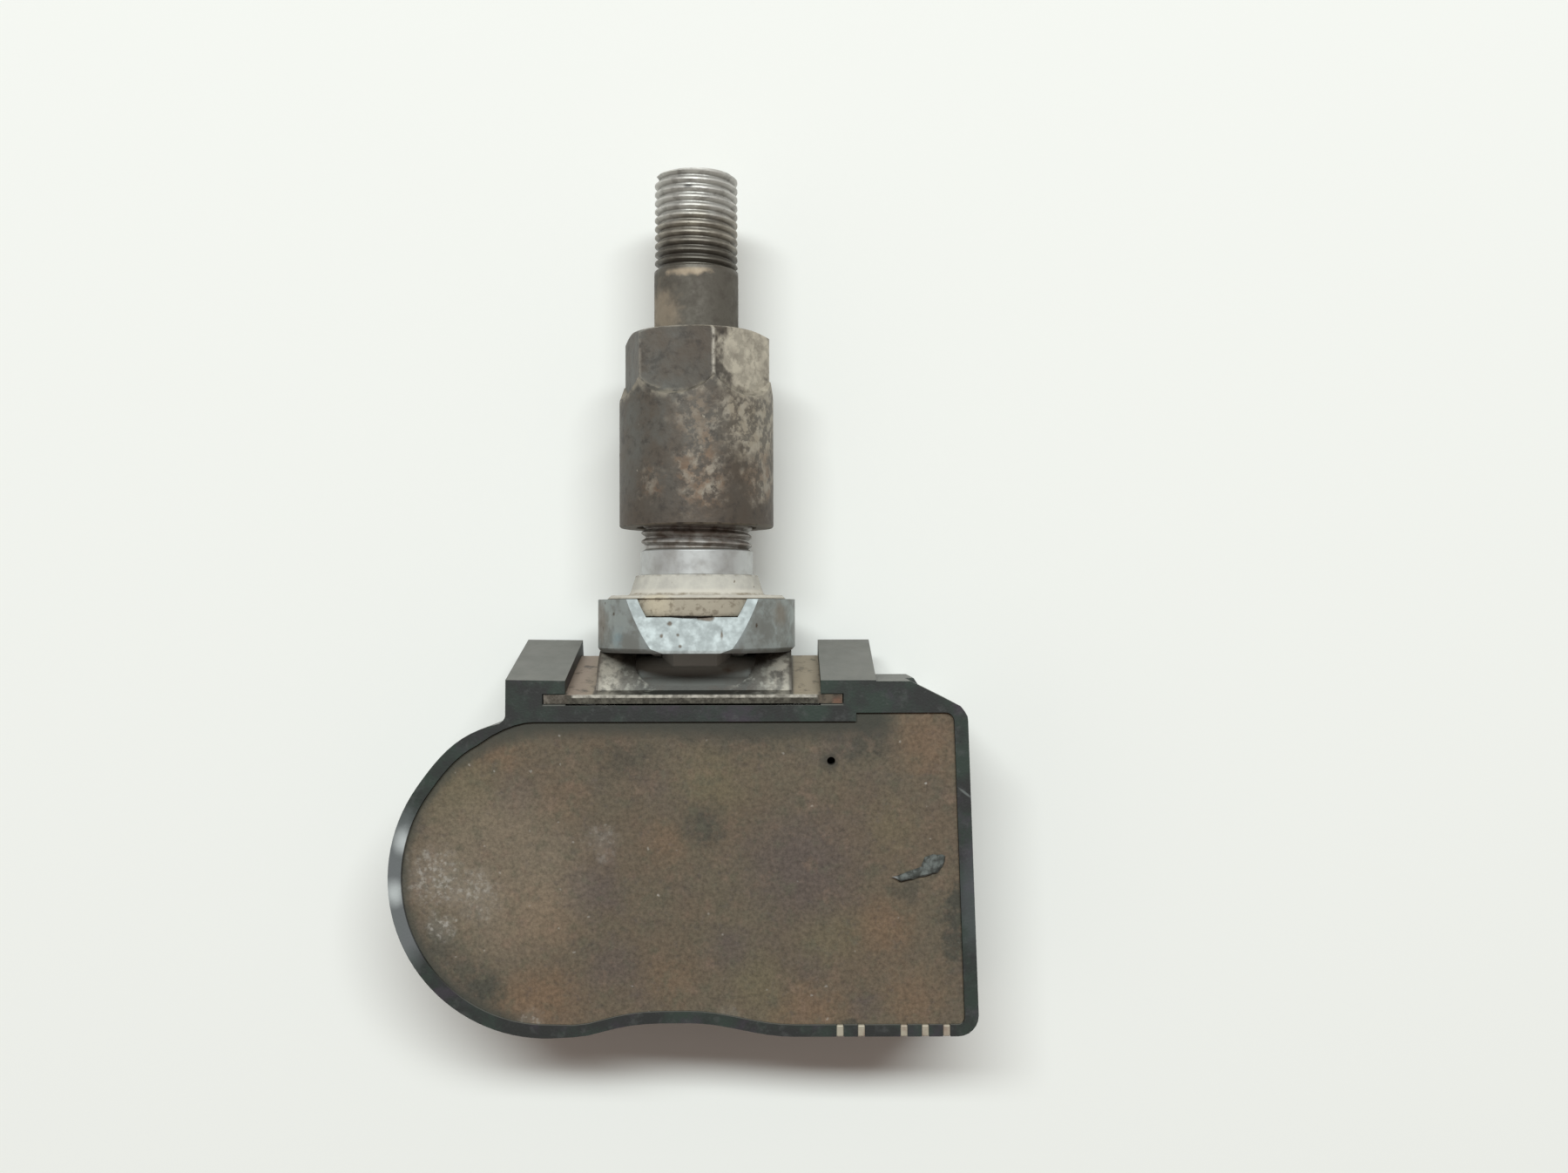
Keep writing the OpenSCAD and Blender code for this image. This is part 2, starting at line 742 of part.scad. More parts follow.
// A strip that stands on the board, climbs a groove of the back wall and crosses the rim
module contact(i) {
    color([0.7, 0.68, 0.6]) contact_at(i) union() {
        block([-contact_w / 2, -contact_t, board_top],
            [contact_w / 2, contact_foot, board_top + contact_t]);
        block([-contact_w / 2, -contact_t, board_top], [contact_w / 2, 0, rim_z]);
        block([-contact_w / 2, -wall_back, rim_z - contact_t], [contact_w / 2, 0, rim_z]);
    }
}

housing();
potting();
bracket();
pivot_bolt();
collar();
grommet();
valve_stem();
sleeve_nut();
core_body();
core_seal();
core_pin();
core_spring();
battery_can();
battery_cap();
battery_gasket();
tab_positive();
tab_negative();
circuit_board();
sensor_chip();
port_seal();
coil_core();
coil_winding();
crystal();
capacitors();
rf_antenna();
contact(0);  // contact_1
contact(1);  // contact_2
contact(2);  // contact_3
contact(3);  // contact_4
contact(4);  // contact_5
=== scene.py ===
# Tyre pressure sensor: edges, threads, resin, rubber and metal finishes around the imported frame
import math
import random

import bmesh
import bpy
from mathutils import Matrix, Vector, noise


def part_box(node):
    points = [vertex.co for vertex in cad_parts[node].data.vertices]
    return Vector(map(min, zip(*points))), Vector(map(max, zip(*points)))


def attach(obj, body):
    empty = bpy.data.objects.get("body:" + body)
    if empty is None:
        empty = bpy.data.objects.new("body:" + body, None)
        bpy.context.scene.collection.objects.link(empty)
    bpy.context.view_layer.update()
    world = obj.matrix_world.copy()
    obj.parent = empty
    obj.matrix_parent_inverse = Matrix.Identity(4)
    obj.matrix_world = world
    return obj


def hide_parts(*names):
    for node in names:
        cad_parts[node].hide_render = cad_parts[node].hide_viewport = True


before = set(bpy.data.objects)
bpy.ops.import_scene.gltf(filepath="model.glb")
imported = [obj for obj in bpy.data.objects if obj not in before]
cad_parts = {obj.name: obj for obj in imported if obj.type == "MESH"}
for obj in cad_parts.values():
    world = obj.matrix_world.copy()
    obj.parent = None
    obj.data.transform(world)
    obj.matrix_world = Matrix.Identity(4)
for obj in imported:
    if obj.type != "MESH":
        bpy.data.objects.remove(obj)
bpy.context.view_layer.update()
mm = 0.001
print("frame loaded")

# places on the stem, all taken from the frame
stemLow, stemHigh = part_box("valve_stem")
nutLow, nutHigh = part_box("sleeve_nut")
collarLow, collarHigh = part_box("collar")
grommetLow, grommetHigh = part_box("grommet")
housingLow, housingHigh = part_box("housing")
resinLow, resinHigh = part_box("potting")
tipY = stemHigh.y
shankHalf = -grommetHigh.y        # the bare shank is centred on the origin


# camera, floor and light

cameraValues = {
    "lens": 34.0,                 # on a 36 mm sensor
    "height": 136 * mm,           # above the stem's axis
    "tiltDegrees": 1.0,
    "rollDegrees": -0.15,
    "aimX": 8.0 * mm,
    "aimY": -2.1 * mm,
}
lightValues = {
    "worldStrength": 0.2,
    "worldColour": (1.0, 0.79, 0.69, 1.0),
    "key": {"place": (0.02, 0.52, 0.97), "size": (1.15, 0.18), "power": 13.0, "colour": (0.95, 1.0, 1.0)},
    "fill": {"place": (-0.45, -0.1, 0.4), "size": (0.4, 0.4), "power": 0.1, "colour": (0.94, 0.98, 1.0)},
}
floorValues = {"size": 8.0, "colour": (0.895, 0.915, 0.885, 1.0)}


def makeCamera(v):
    data = bpy.data.cameras.new("camera")
    data.lens = v["lens"]
    data.clip_start = 0.01
    camera = bpy.data.objects.new("camera", data)
    tilt = math.radians(v["tiltDegrees"])
    camera.location = (v["aimX"], v["aimY"] - v["height"] * math.tan(tilt), v["height"])
    camera.rotation_euler = (tilt, 0, math.radians(v["rollDegrees"]))
    bpy.context.scene.collection.objects.link(camera)
    bpy.context.scene.camera = camera


def makeLamp(name, v):
    data = bpy.data.lights.new(name, "AREA")
    data.shape = "RECTANGLE"
    data.size, data.size_y = v["size"]
    data.energy = v["power"]
    data.color = v["colour"]
    lamp = bpy.data.objects.new(name, data)
    lamp.location = v["place"]
    lamp.rotation_euler = (-Vector(v["place"])).to_track_quat("-Z", "Y").to_euler()
    bpy.context.scene.collection.objects.link(lamp)


def makeWorld(v):
    world = bpy.data.worlds.new("studio")
    world.use_nodes = True
    background = world.node_tree.nodes["Background"]
    background.inputs["Color"].default_value = v["worldColour"]
    background.inputs["Strength"].default_value = v["worldStrength"]
    bpy.context.scene.world = world


# node helpers

def addNode(tree, kind, inputs=None, **settings):
    node = tree.nodes.new(kind)
    for key, value in settings.items():
        setattr(node, key, value)
    for key, value in (inputs or {}).items():
        if isinstance(value, bpy.types.NodeSocket):
            tree.links.new(value, node.inputs[key])
        else:
            node.inputs[key].default_value = value
    return node


def newGroup(name, ins, outs):
    tree = bpy.data.node_groups.new(name, "ShaderNodeTree")
    for label, kind, value in ins:
        socket = tree.interface.new_socket(label, in_out="INPUT", socket_type="NodeSocket" + kind)
        if value is not None:
            socket.default_value = value
    for label, kind in outs:
        tree.interface.new_socket(label, in_out="OUTPUT", socket_type="NodeSocket" + kind)
    source = tree.nodes.new("NodeGroupInput").outputs
    sink = tree.nodes.new("NodeGroupOutput").inputs
    return tree, source, sink


def useGroup(tree, group, **inputs):
    node = tree.nodes.new("ShaderNodeGroup")
    node.node_tree = group
    for key, value in inputs.items():
        label = key[0].upper() + key[1:]
        if isinstance(value, bpy.types.NodeSocket):
            tree.links.new(value, node.inputs[label])
        else:
            node.inputs[label].default_value = value
    return node


def mixColour(tree, factor, a, b, blend="MIX"):
    node = tree.nodes.new("ShaderNodeMix")
    node.data_type = "RGBA"
    node.blend_type = blend
    for socket, value in ((node.inputs[0], factor), (node.inputs[6], a), (node.inputs[7], b)):
        if isinstance(value, bpy.types.NodeSocket):
            tree.links.new(value, socket)
        else:
            socket.default_value = value
    return node.outputs[2]


def mathNode(tree, operation, a, b=0.0, clamp=False):
    node = tree.nodes.new("ShaderNodeMath")
    node.operation = operation
    node.use_clamp = clamp
    for socket, value in ((node.inputs[0], a), (node.inputs[1], b)):
        if isinstance(value, bpy.types.NodeSocket):
            tree.links.new(value, socket)
        else:
            socket.default_value = value
    return node.outputs[0]


# shared effects; every Vector is in millimetres

def blotchGroup():
    tree, source, sink = newGroup(
        "blotches",
        [("Vector", "Vector", None), ("Scale", "Float", 0.3), ("Detail", "Float", 4.0),
         ("Low", "Float", 0.45), ("High", "Float", 0.6), ("Seed", "Float", 0.0)],
        [("Mask", "Float")])
    pattern = addNode(tree, "ShaderNodeTexNoise", {
        "Vector": source["Vector"], "Scale": source["Scale"], "Detail": source["Detail"],
        "Roughness": 0.62, "W": source["Seed"]}, noise_dimensions="4D")
    limits = addNode(tree, "ShaderNodeMapRange", {
        "Value": pattern.outputs["Fac"], "From Min": source["Low"], "From Max": source["High"]},
        interpolation_type="SMOOTHSTEP")
    tree.links.new(limits.outputs[0], sink["Mask"])
    return tree


def speckGroup():
    tree, source, sink = newGroup(
        "specks",
        [("Vector", "Vector", None), ("Spacing", "Float", 1.0), ("Size", "Float", 0.12),
         ("Share", "Float", 0.4)],
        [("Mask", "Float")])
    scale = mathNode(tree, "DIVIDE", 1.0, source["Spacing"])
    warp = addNode(tree, "ShaderNodeTexNoise", {"Vector": source["Vector"], "Scale": 3.0, "Detail": 2.0})
    bent = addNode(tree, "ShaderNodeVectorMath", {0: warp.outputs["Color"], 1: (0.35, 0.35, 0.35)},
                   operation="MULTIPLY")
    place = addNode(tree, "ShaderNodeVectorMath", {0: source["Vector"], 1: bent.outputs[0]}, operation="ADD")
    cells = addNode(tree, "ShaderNodeTexVoronoi", {"Vector": place.outputs[0], "Scale": scale})
    core = mathNode(tree, "MULTIPLY", source["Size"], 0.45)
    edge = addNode(tree, "ShaderNodeMapRange", {
        "Value": cells.outputs["Distance"], "From Min": source["Size"], "From Max": core,
        "To Min": 0.0, "To Max": 1.0})
    chosen = addNode(tree, "ShaderNodeSeparateColor", {"Color": cells.outputs["Color"]})
    keep = mathNode(tree, "LESS_THAN", chosen.outputs[0], source["Share"])
    tree.links.new(mathNode(tree, "MULTIPLY", edge.outputs[0], keep, True), sink["Mask"])
    return tree


def spotGroup():
    tree, source, sink = newGroup(
        "spot",
        [("Vector", "Vector", None), ("Centre", "Vector", (0, 0, 0)), ("Stretch", "Vector", (1, 1, 1)),
         ("Radius", "Float", 2.0), ("Soft", "Float", 1.0), ("Ragged", "Float", 0.5)],
        [("Mask", "Float")])
    away = addNode(tree, "ShaderNodeVectorMath", {0: source["Vector"], 1: source["Centre"]},
                   operation="SUBTRACT")
    shaped = addNode(tree, "ShaderNodeVectorMath", {0: away.outputs[0], 1: source["Stretch"]},
                     operation="MULTIPLY")
    far = addNode(tree, "ShaderNodeVectorMath", {0: shaped.outputs[0]}, operation="LENGTH")
    rough = addNode(tree, "ShaderNodeTexNoise", {"Vector": source["Vector"], "Scale": 1.1, "Detail": 5.0})
    centred = mathNode(tree, "SUBTRACT", rough.outputs["Fac"], 0.5)
    shifted = mathNode(tree, "MULTIPLY", centred, mathNode(tree, "MULTIPLY", source["Ragged"], 4.0))
    distance = mathNode(tree, "ADD", far.outputs["Value"], shifted)
    inner = mathNode(tree, "SUBTRACT", source["Radius"], source["Soft"])
    limits = addNode(tree, "ShaderNodeMapRange", {
        "Value": distance, "From Min": source["Radius"], "From Max": inner},
        interpolation_type="SMOOTHSTEP")
    tree.links.new(limits.outputs[0], sink["Mask"])
    return tree


def bandGroup():
    tree, source, sink = newGroup(
        "band",
        [("Value", "Float", 0.0), ("Low", "Float", 0.0), ("High", "Float", 1.0), ("Soft", "Float", 0.2)],
        [("Mask", "Float")])
    rise = addNode(tree, "ShaderNodeMapRange", {
        "Value": source["Value"], "From Min": mathNode(tree, "SUBTRACT", source["Low"], source["Soft"]),
        "From Max": mathNode(tree, "ADD", source["Low"], source["Soft"])}, interpolation_type="SMOOTHSTEP")
    fall = addNode(tree, "ShaderNodeMapRange", {
        "Value": source["Value"], "From Min": mathNode(tree, "ADD", source["High"], source["Soft"]),
        "From Max": mathNode(tree, "SUBTRACT", source["High"], source["Soft"])},
        interpolation_type="SMOOTHSTEP")
    tree.links.new(mathNode(tree, "MULTIPLY", rise.outputs[0], fall.outputs[0], True), sink["Mask"])
    return tree


blotches = blotchGroup()
specks = speckGroup()
spot = spotGroup()
band = bandGroup()


def newMaterial(name, roughness, metallic=0.0, specular=0.5):
    material = bpy.data.materials.new(name)
    material.use_nodes = True
    tree = material.node_tree
    shader = tree.nodes["Principled BSDF"]
    shader.inputs["Roughness"].default_value = roughness
    shader.inputs["Metallic"].default_value = metallic
    shader.inputs["Specular IOR Level"].default_value = specular
    coordinates = addNode(tree, "ShaderNodeTexCoord")
    inMillimetres = addNode(tree, "ShaderNodeMapping", {
        "Vector": coordinates.outputs["Object"], "Scale": (1000, 1000, 1000)})
    return material, tree, shader, inMillimetres.outputs[0]


def setBump(tree, shader, height, strength, distanceMm=0.1):
    bump = addNode(tree, "ShaderNodeBump", {
        "Height": height, "Strength": strength, "Distance": distanceMm * mm})
    tree.links.new(bump.outputs[0], shader.inputs["Normal"])


def xyz(tree, vector):
    return addNode(tree, "ShaderNodeSeparateXYZ", {"Vector": vector}).outputs


def mask(tree, vector, scale, low, high, seed=0.0, detail=4.0):
    return useGroup(tree, blotches, vector=vector, scale=scale, low=low, high=high, seed=seed,
                    detail=detail).outputs["Mask"]


def spotAt(tree, vector, centre, radius, soft, ragged=0.5, stretch=(1, 1, 1)):
    return useGroup(tree, spot, vector=vector, centre=centre, radius=radius, soft=soft, ragged=ragged,
                    stretch=stretch).outputs["Mask"]


def bandOf(tree, value, low, high, soft=0.2):
    return useGroup(tree, band, value=value, low=low, high=high, soft=soft).outputs["Mask"]


def times(tree, a, b):
    return mathNode(tree, "MULTIPLY", a, b, True)


# mesh helpers

def linked(name, bm, body, material, replaced=(), smoothAngle=30):
    mesh = bpy.data.meshes.new(name)
    bm.to_mesh(mesh)
    bm.free()
    mesh.materials.append(material)
    mesh.set_sharp_from_angle(angle=math.radians(smoothAngle))
    for polygon in mesh.polygons:
        polygon.use_smooth = len(polygon.vertices) <= 4
    piece = bpy.data.objects.new(name, mesh)
    bpy.context.scene.collection.objects.link(piece)
    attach(piece, body)
    if replaced:
        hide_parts(*replaced)
    return piece


def mergedCopy(node):
    bm = bmesh.new()
    bm.from_mesh(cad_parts[node].data)
    bmesh.ops.remove_doubles(bm, verts=bm.verts, dist=0.0005 * mm)
    bmesh.ops.dissolve_limit(bm, angle_limit=math.radians(0.8), verts=bm.verts, edges=bm.edges)
    return bm


def roundEdges(piece, widthMm, segments=2, angle=32):
    bevel = piece.modifiers.new("edges", "BEVEL")
    bevel.width = widthMm * mm
    bevel.segments = segments
    bevel.limit_method = "ANGLE"
    bevel.angle_limit = math.radians(angle)
    bevel.use_clamp_overlap = True
    bevel.harden_normals = True


# spins a profile of (y, r) points in mm about the stem's axis
def revolve(profile, steps=128):
    bm = bmesh.new()
    points = [bm.verts.new((r * mm, y * mm, 0)) for y, r in profile]
    edges = [bm.edges.new(pair) for pair in zip(points, points[1:])]
    bmesh.ops.spin(bm, geom=points + edges, cent=(0, 0, 0), axis=(0, 1, 0), dvec=(0, 0, 0),
                   angle=math.tau, steps=steps, use_merge=True, use_duplicate=False)
    bmesh.ops.remove_doubles(bm, verts=bm.verts, dist=0.0005 * mm)
    bmesh.ops.recalc_face_normals(bm, faces=bm.faces)
    return bm


# materials

# marks on the resin: centre in mm, radius, softness, strength, stretch
resinMarks = {
    "plum": (
        ((9.5, -26.6, 6), 7.5, 6.5, 0.6, (1, 1, 1)),
        ((-9.1, -28.6, 6), 3.8, 3.4, 0.6, (1, 1, 1)),
        ((-7.0, -35.2, 6), 3.6, 3.2, 0.45, (1, 1, 1)),
        ((-15.5, -20.6, 6), 2.6, 2.4, 0.35, (1, 1, 1)),
        ((3.0, -34.0, 6), 3.0, 2.8, 0.4, (1, 1, 1)),
        ((15.0, -39.0, 6), 2.0, 1.8, 0.4, (1, 1, 1)),
    ),
    "orange": (
        ((-13.6, -30.8, 6), 5.0, 4.6, 0.6, (1, 1, 1)),
        ((-11.8, -20.9, 6), 4.0, 3.6, 0.3, (1, 1, 1)),
        ((10.4, -39.2, 6), 3.2, 2.8, 0.5, (0.6, 1, 1)),
        ((16.9, -32.0, 6), 3.6, 3.2, 0.5, (1, 1, 1)),
        ((19.2, -38.2, 6), 4.0, 3.6, 0.45, (1, 1, 1)),
        ((20.4, -16.0, 6), 4.6, 4.0, 0.5, (1, 1, 1)),
        ((-13.6, -38.4, 6), 4.2, 3.4, 0.55, (0.8, 1, 1)),
        ((-2.0, -36.5, 6), 3.0, 2.8, 0.3, (1, 1, 1)),
        ((-7.5, -17.0, 6), 2.2, 2.0, 0.25, (0.7, 1, 1)),
        ((-17.2, -16.9, 6), 2.6, 2.2, 0.4, (0.7, 1, 1)),
        ((-2.4, -24.6, 6), 2.8, 2.4, 0.35, (1, 1, 1)),
    ),
    "olive": (
        ((1.5, -19.1, 6), 5.0, 4.4, 0.55, (1, 1, 1)),
        ((-20.2, -20.4, 6), 5.0, 4.4, 0.5, (1, 1, 1)),
        ((11.8, -32.4, 6), 4.2, 3.8, 0.5, (1, 1, 1)),
        ((5.7, -37.2, 6), 4.4, 4.0, 0.45, (1, 1, 1)),
        ((17.6, -23.0, 6), 3.6, 3.2, 0.35, (1, 1, 1)),
    ),
    "dark": (
        ((0.9, -22.9, 6), 2.8, 2.5, 0.6, (1, 1, 1)),
        ((-6.2, -17.2, 6), 2.6, 2.4, 0.5, (0.6, 1, 1)),
        ((-22.3, -33.2, 6), 2.4, 2.2, 0.8, (1, 0.8, 1)),
        ((-20.4, -35.2, 6), 2.4, 2.2, 0.6, (1, 1, 1)),
        ((-18.4, -37.0, 6), 2.6, 2.3, 0.75, (1, 1, 1)),
        ((22.9, -32.0, 6), 1.8, 1.6, 0.8, (1, 0.4, 1)),
        ((23.1, -29.8, 6), 1.2, 1.1, 0.7, (1, 0.5, 1)),
        ((5.0, -15.2, 6), 2.2, 2.0, 0.5, (0.24, 1, 1)),
        ((12.2, -17.5, 6), 1.5, 1.3, 0.4, (1, 1, 1)),
        ((15.2, -16.0, 6), 2.4, 2.2, 0.6, (0.6, 1, 1)),
        ((19.0, -29.0, 6), 1.4, 1.3, 0.4, (0.6, 1, 1)),
        ((13.5, -40.6, 6), 0.9, 0.8, 0.5, (0.5, 1, 1)),
    ),
}
# mottles all over the resin: scale, low and high limit, seed, strength, tint
resinMottles = (
    (0.9, 0.5, 0.68, 11.0, 0.45, (0.1, 0.1, 0.068, 1)),
    (0.75, 0.52, 0.7, 17.0, 0.4, (0.21, 0.145, 0.105, 1)),
    (1.5, 0.54, 0.7, 23.0, 0.35, (0.088, 0.075, 0.07, 1)),
)
resinDust = (
    ((-22.6, -27.6, 6), 3.6, 3.0, 0.75),
    ((-22.0, -31.9, 6), 1.7, 1.3, 1.0),
    ((-19.0, -29.2, 6), 3.0, 2.6, 0.6),
    ((-14.4, -40.2, 6), 1.8, 1.5, 0.6),
    ((-8.0, -24.6, 6), 2.0, 1.8, 0.4),
    ((3.4, -40.0, 6), 1.6, 1.4, 0.4),
)


def resinMaterial():
    material, tree, shader, at = newMaterial("castResin", 0.66, 0.0, 0.3)
    tones = {"plum": (0.108, 0.086, 0.076, 1), "orange": (0.185, 0.122, 0.075, 1),
             "olive": (0.15, 0.127, 0.076, 1), "dark": (0.066, 0.064, 0.05, 1)}
    pale = (0.44, 0.42, 0.38, 1)
    tone = mixColour(tree, mask(tree, at, 0.14, 0.38, 0.62, 1.0, 5.0),
                     (0.136, 0.105, 0.072, 1), (0.13, 0.108, 0.075, 1))
    cloud = mask(tree, at, 0.24, 0.46, 0.72, 3.0, 6.0)
    tone = mixColour(tree, times(tree, cloud, 0.5), tone, tones["plum"])
    for name in ("orange", "olive", "plum", "dark"):
        for centre, radius, soft, amount, stretch in resinMarks[name]:
            there = spotAt(tree, at, centre, radius, soft, 0.9, stretch)
            tone = mixColour(tree, times(tree, there, amount * 1.35), tone, tones[name])
    lighter = spotAt(tree, at, (-17.0, -27.5, 6), 10.5, 7.0, 0.4)
    tone = mixColour(tree, times(tree, lighter, 0.6), tone, (0.225, 0.185, 0.132, 1))
    grain = addNode(tree, "ShaderNodeTexNoise", {"Vector": at, "Scale": 3.0, "Detail": 5.0, "Roughness": 0.75})
    for scale, low, high, seed, amount, tint in resinMottles:
        tone = mixColour(tree, times(tree, mask(tree, at, scale, low, high, seed, 6.0), amount), tone, tint)
    grainTone = addNode(tree, "ShaderNodeMapRange", {
        "Value": grain.outputs["Fac"], "From Min": 0.3, "From Max": 0.7, "To Min": 0.62, "To Max": 1.31})
    shade = addNode(tree, "ShaderNodeCombineColor", {
        0: grainTone.outputs[0], 1: grainTone.outputs[0], 2: grainTone.outputs[0]})
    tone = mixColour(tree, 1.0, tone, shade.outputs[0], "MULTIPLY")
    # painted shade: darker band along the round wall
    inside = spotAt(tree, at, (-12.8, -27.67, 6), 12.75, 1.1, 0.12)
    leftSide = addNode(tree, "ShaderNodeMapRange", {
        "Value": xyz(tree, at)["X"], "From Min": -13.0, "From Max": -17.0})
    paintedWallShade = times(tree, mathNode(tree, "SUBTRACT", 1.0, inside), leftSide.outputs[0])
    tone = mixColour(tree, times(tree, paintedWallShade, 0.75), tone, (0.05, 0.055, 0.045, 1))
    # painted shade: darker band along the front wall, and a painted shade ring round the vent
    ragged = mathNode(tree, "ADD", xyz(tree, at)["Y"], mathNode(tree, "MULTIPLY", grain.outputs["Fac"], 0.8))
    frontWallShade = addNode(tree, "ShaderNodeMapRange", {
        "Value": ragged, "From Min": -15.7, "From Max": -13.9}, interpolation_type="SMOOTHSTEP")
    notCorner = addNode(tree, "ShaderNodeMapRange", {
        "Value": xyz(tree, at)["X"], "From Min": 18.6, "From Max": 16.2}, interpolation_type="SMOOTHSTEP")
    shaded = times(tree, frontWallShade.outputs[0], notCorner.outputs[0])
    tone = mixColour(tree, times(tree, shaded, 0.9), tone, (0.05, 0.052, 0.042, 1))
    ventShadeRing = spotAt(tree, at, (12.1, -17.52, 6), 0.95, 0.65, 0.1)
    tone = mixColour(tree, times(tree, ventShadeRing, 0.7), tone, (0.05, 0.047, 0.038, 1))
    for centre, radius, soft, amount in resinDust:
        crumbs = useGroup(tree, specks, vector=at, spacing=0.45, size=0.42, share=0.45).outputs["Mask"]
        powder = mask(tree, at, 1.7, 0.5, 0.66, 61.0, 8.0)
        flecks = mathNode(tree, "MAXIMUM", times(tree, crumbs, 0.55), times(tree, powder, 0.8))
        there = spotAt(tree, at, centre, radius, soft, 0.7)
        tone = mixColour(tree, times(tree, times(tree, flecks, there), amount), tone, pale)
        tone = mixColour(tree, times(tree, there, 0.1), tone, pale)
    for spacing, size, share, amount in ((2.9, 0.05, 0.35, 0.7), (1.3, 0.11, 0.22, 0.4)):
        crumbs = useGroup(tree, specks, vector=at, spacing=spacing, size=size, share=share).outputs["Mask"]
        tone = mixColour(tree, times(tree, crumbs, amount), tone, pale)
    tree.links.new(tone, shader.inputs["Base Color"])
    setBump(tree, shader, grain.outputs["Fac"], 0.35, 0.12)
    return material


def housingMaterial():
    material, tree, shader, at = newMaterial("mouldedPlastic", 0.5, 0.0, 0.25)
    black, green, worn = (0.031, 0.033, 0.032, 1), (0.035, 0.05, 0.041, 1), (0.082, 0.087, 0.085, 1)
    dust, floorDust = (0.192, 0.194, 0.176, 1), (0.11, 0.108, 0.094, 1)
    tone = mixColour(tree, mask(tree, at, 0.3, 0.4, 0.6, 2.0, 5.0), black, green)
    tone = mixColour(tree, times(tree, mask(tree, at, 0.25, 0.5, 0.65, 13.0, 5.0), 0.7), tone, (0.056, 0.046, 0.06, 1))
    tone = mixColour(tree, times(tree, mask(tree, at, 1.3, 0.5, 0.7, 5.0, 8.0), 0.45), tone, worn)
    facing = xyz(tree, addNode(tree, "ShaderNodeTexCoord").outputs["Normal"])
    front = addNode(tree, "ShaderNodeMapRange", {
        "Value": facing["Y"], "From Min": 0.5, "From Max": 0.9}, interpolation_type="SMOOTHSTEP")
    patchy = addNode(tree, "ShaderNodeMapRange", {
        "Value": mask(tree, at, 0.5, 0.2, 0.75, 9.0, 6.0), "To Min": 0.72, "To Max": 1.0})
    tone = mixColour(tree, times(tree, front.outputs[0], patchy.outputs[0]), tone, dust)
    place = xyz(tree, at)
    below = addNode(tree, "ShaderNodeMapRange", {
        "Value": place["Z"], "From Min": 4.0, "From Max": -4.0, "To Max": 0.6})
    tone = mixColour(tree, times(tree, below.outputs[0], mask(tree, at, 0.3, 0.3, 0.7, 4.0)), tone, floorDust)
    # worn, rounded rim on the left: a lighter patch with a painted sheen, and two painted glints standing in for
    # reflections
    rubbedSheen = spotAt(tree, at, (-25.6, -28.6, 6.2), 6.4, 3.0, 0.3, (1.6, 0.75, 1))
    tone = mixColour(tree, times(tree, rubbedSheen, 0.8), tone, (0.175, 0.19, 0.195, 1))
    for centre in ((-25.3, -24.4, 6.2), (-26.1, -28.9, 6.2)):
        paintedGlint = spotAt(tree, at, centre, 1.3, 1.2, 0.1, (1, 0.8, 1))
        tone = mixColour(tree, times(tree, paintedGlint, 0.9), tone, (0.5, 0.54, 0.54, 1))
    # worn patch on the right rim with a painted sheen
    rightRubSheen = spotAt(tree, at, (24.7, -29.4, 6.2), 2.0, 1.3, 0.2, (1, 0.32, 1))
    tone = mixColour(tree, times(tree, rightRubSheen, 0.45), tone, (0.1, 0.11, 0.118, 1))
    scratch = addNode(tree, "ShaderNodeVectorRotate", {
        "Vector": at, "Center": (23.8, -20.3, 6.2), "Axis": (0, 0, 1), "Angle": math.radians(38)})
    along = spotAt(tree, scratch.outputs[0], (23.8, -20.3, 6.2), 0.95, 0.6, 0.03, (1, 6.5, 1))
    tone = mixColour(tree, times(tree, along, 0.6), tone, (0.19, 0.21, 0.205, 1))
    fine = addNode(tree, "ShaderNodeTexNoise", {"Vector": at, "Scale": 5.0, "Detail": 4.0})
    tree.links.new(tone, shader.inputs["Base Color"])
    gloss = addNode(tree, "ShaderNodeMapRange", {"Value": rubbedSheen, "To Min": 0.52, "To Max": 0.34})
    tree.links.new(gloss.outputs[0], shader.inputs["Roughness"])
    setBump(tree, shader, fine.outputs["Fac"], 0.25, 0.08)
    return material


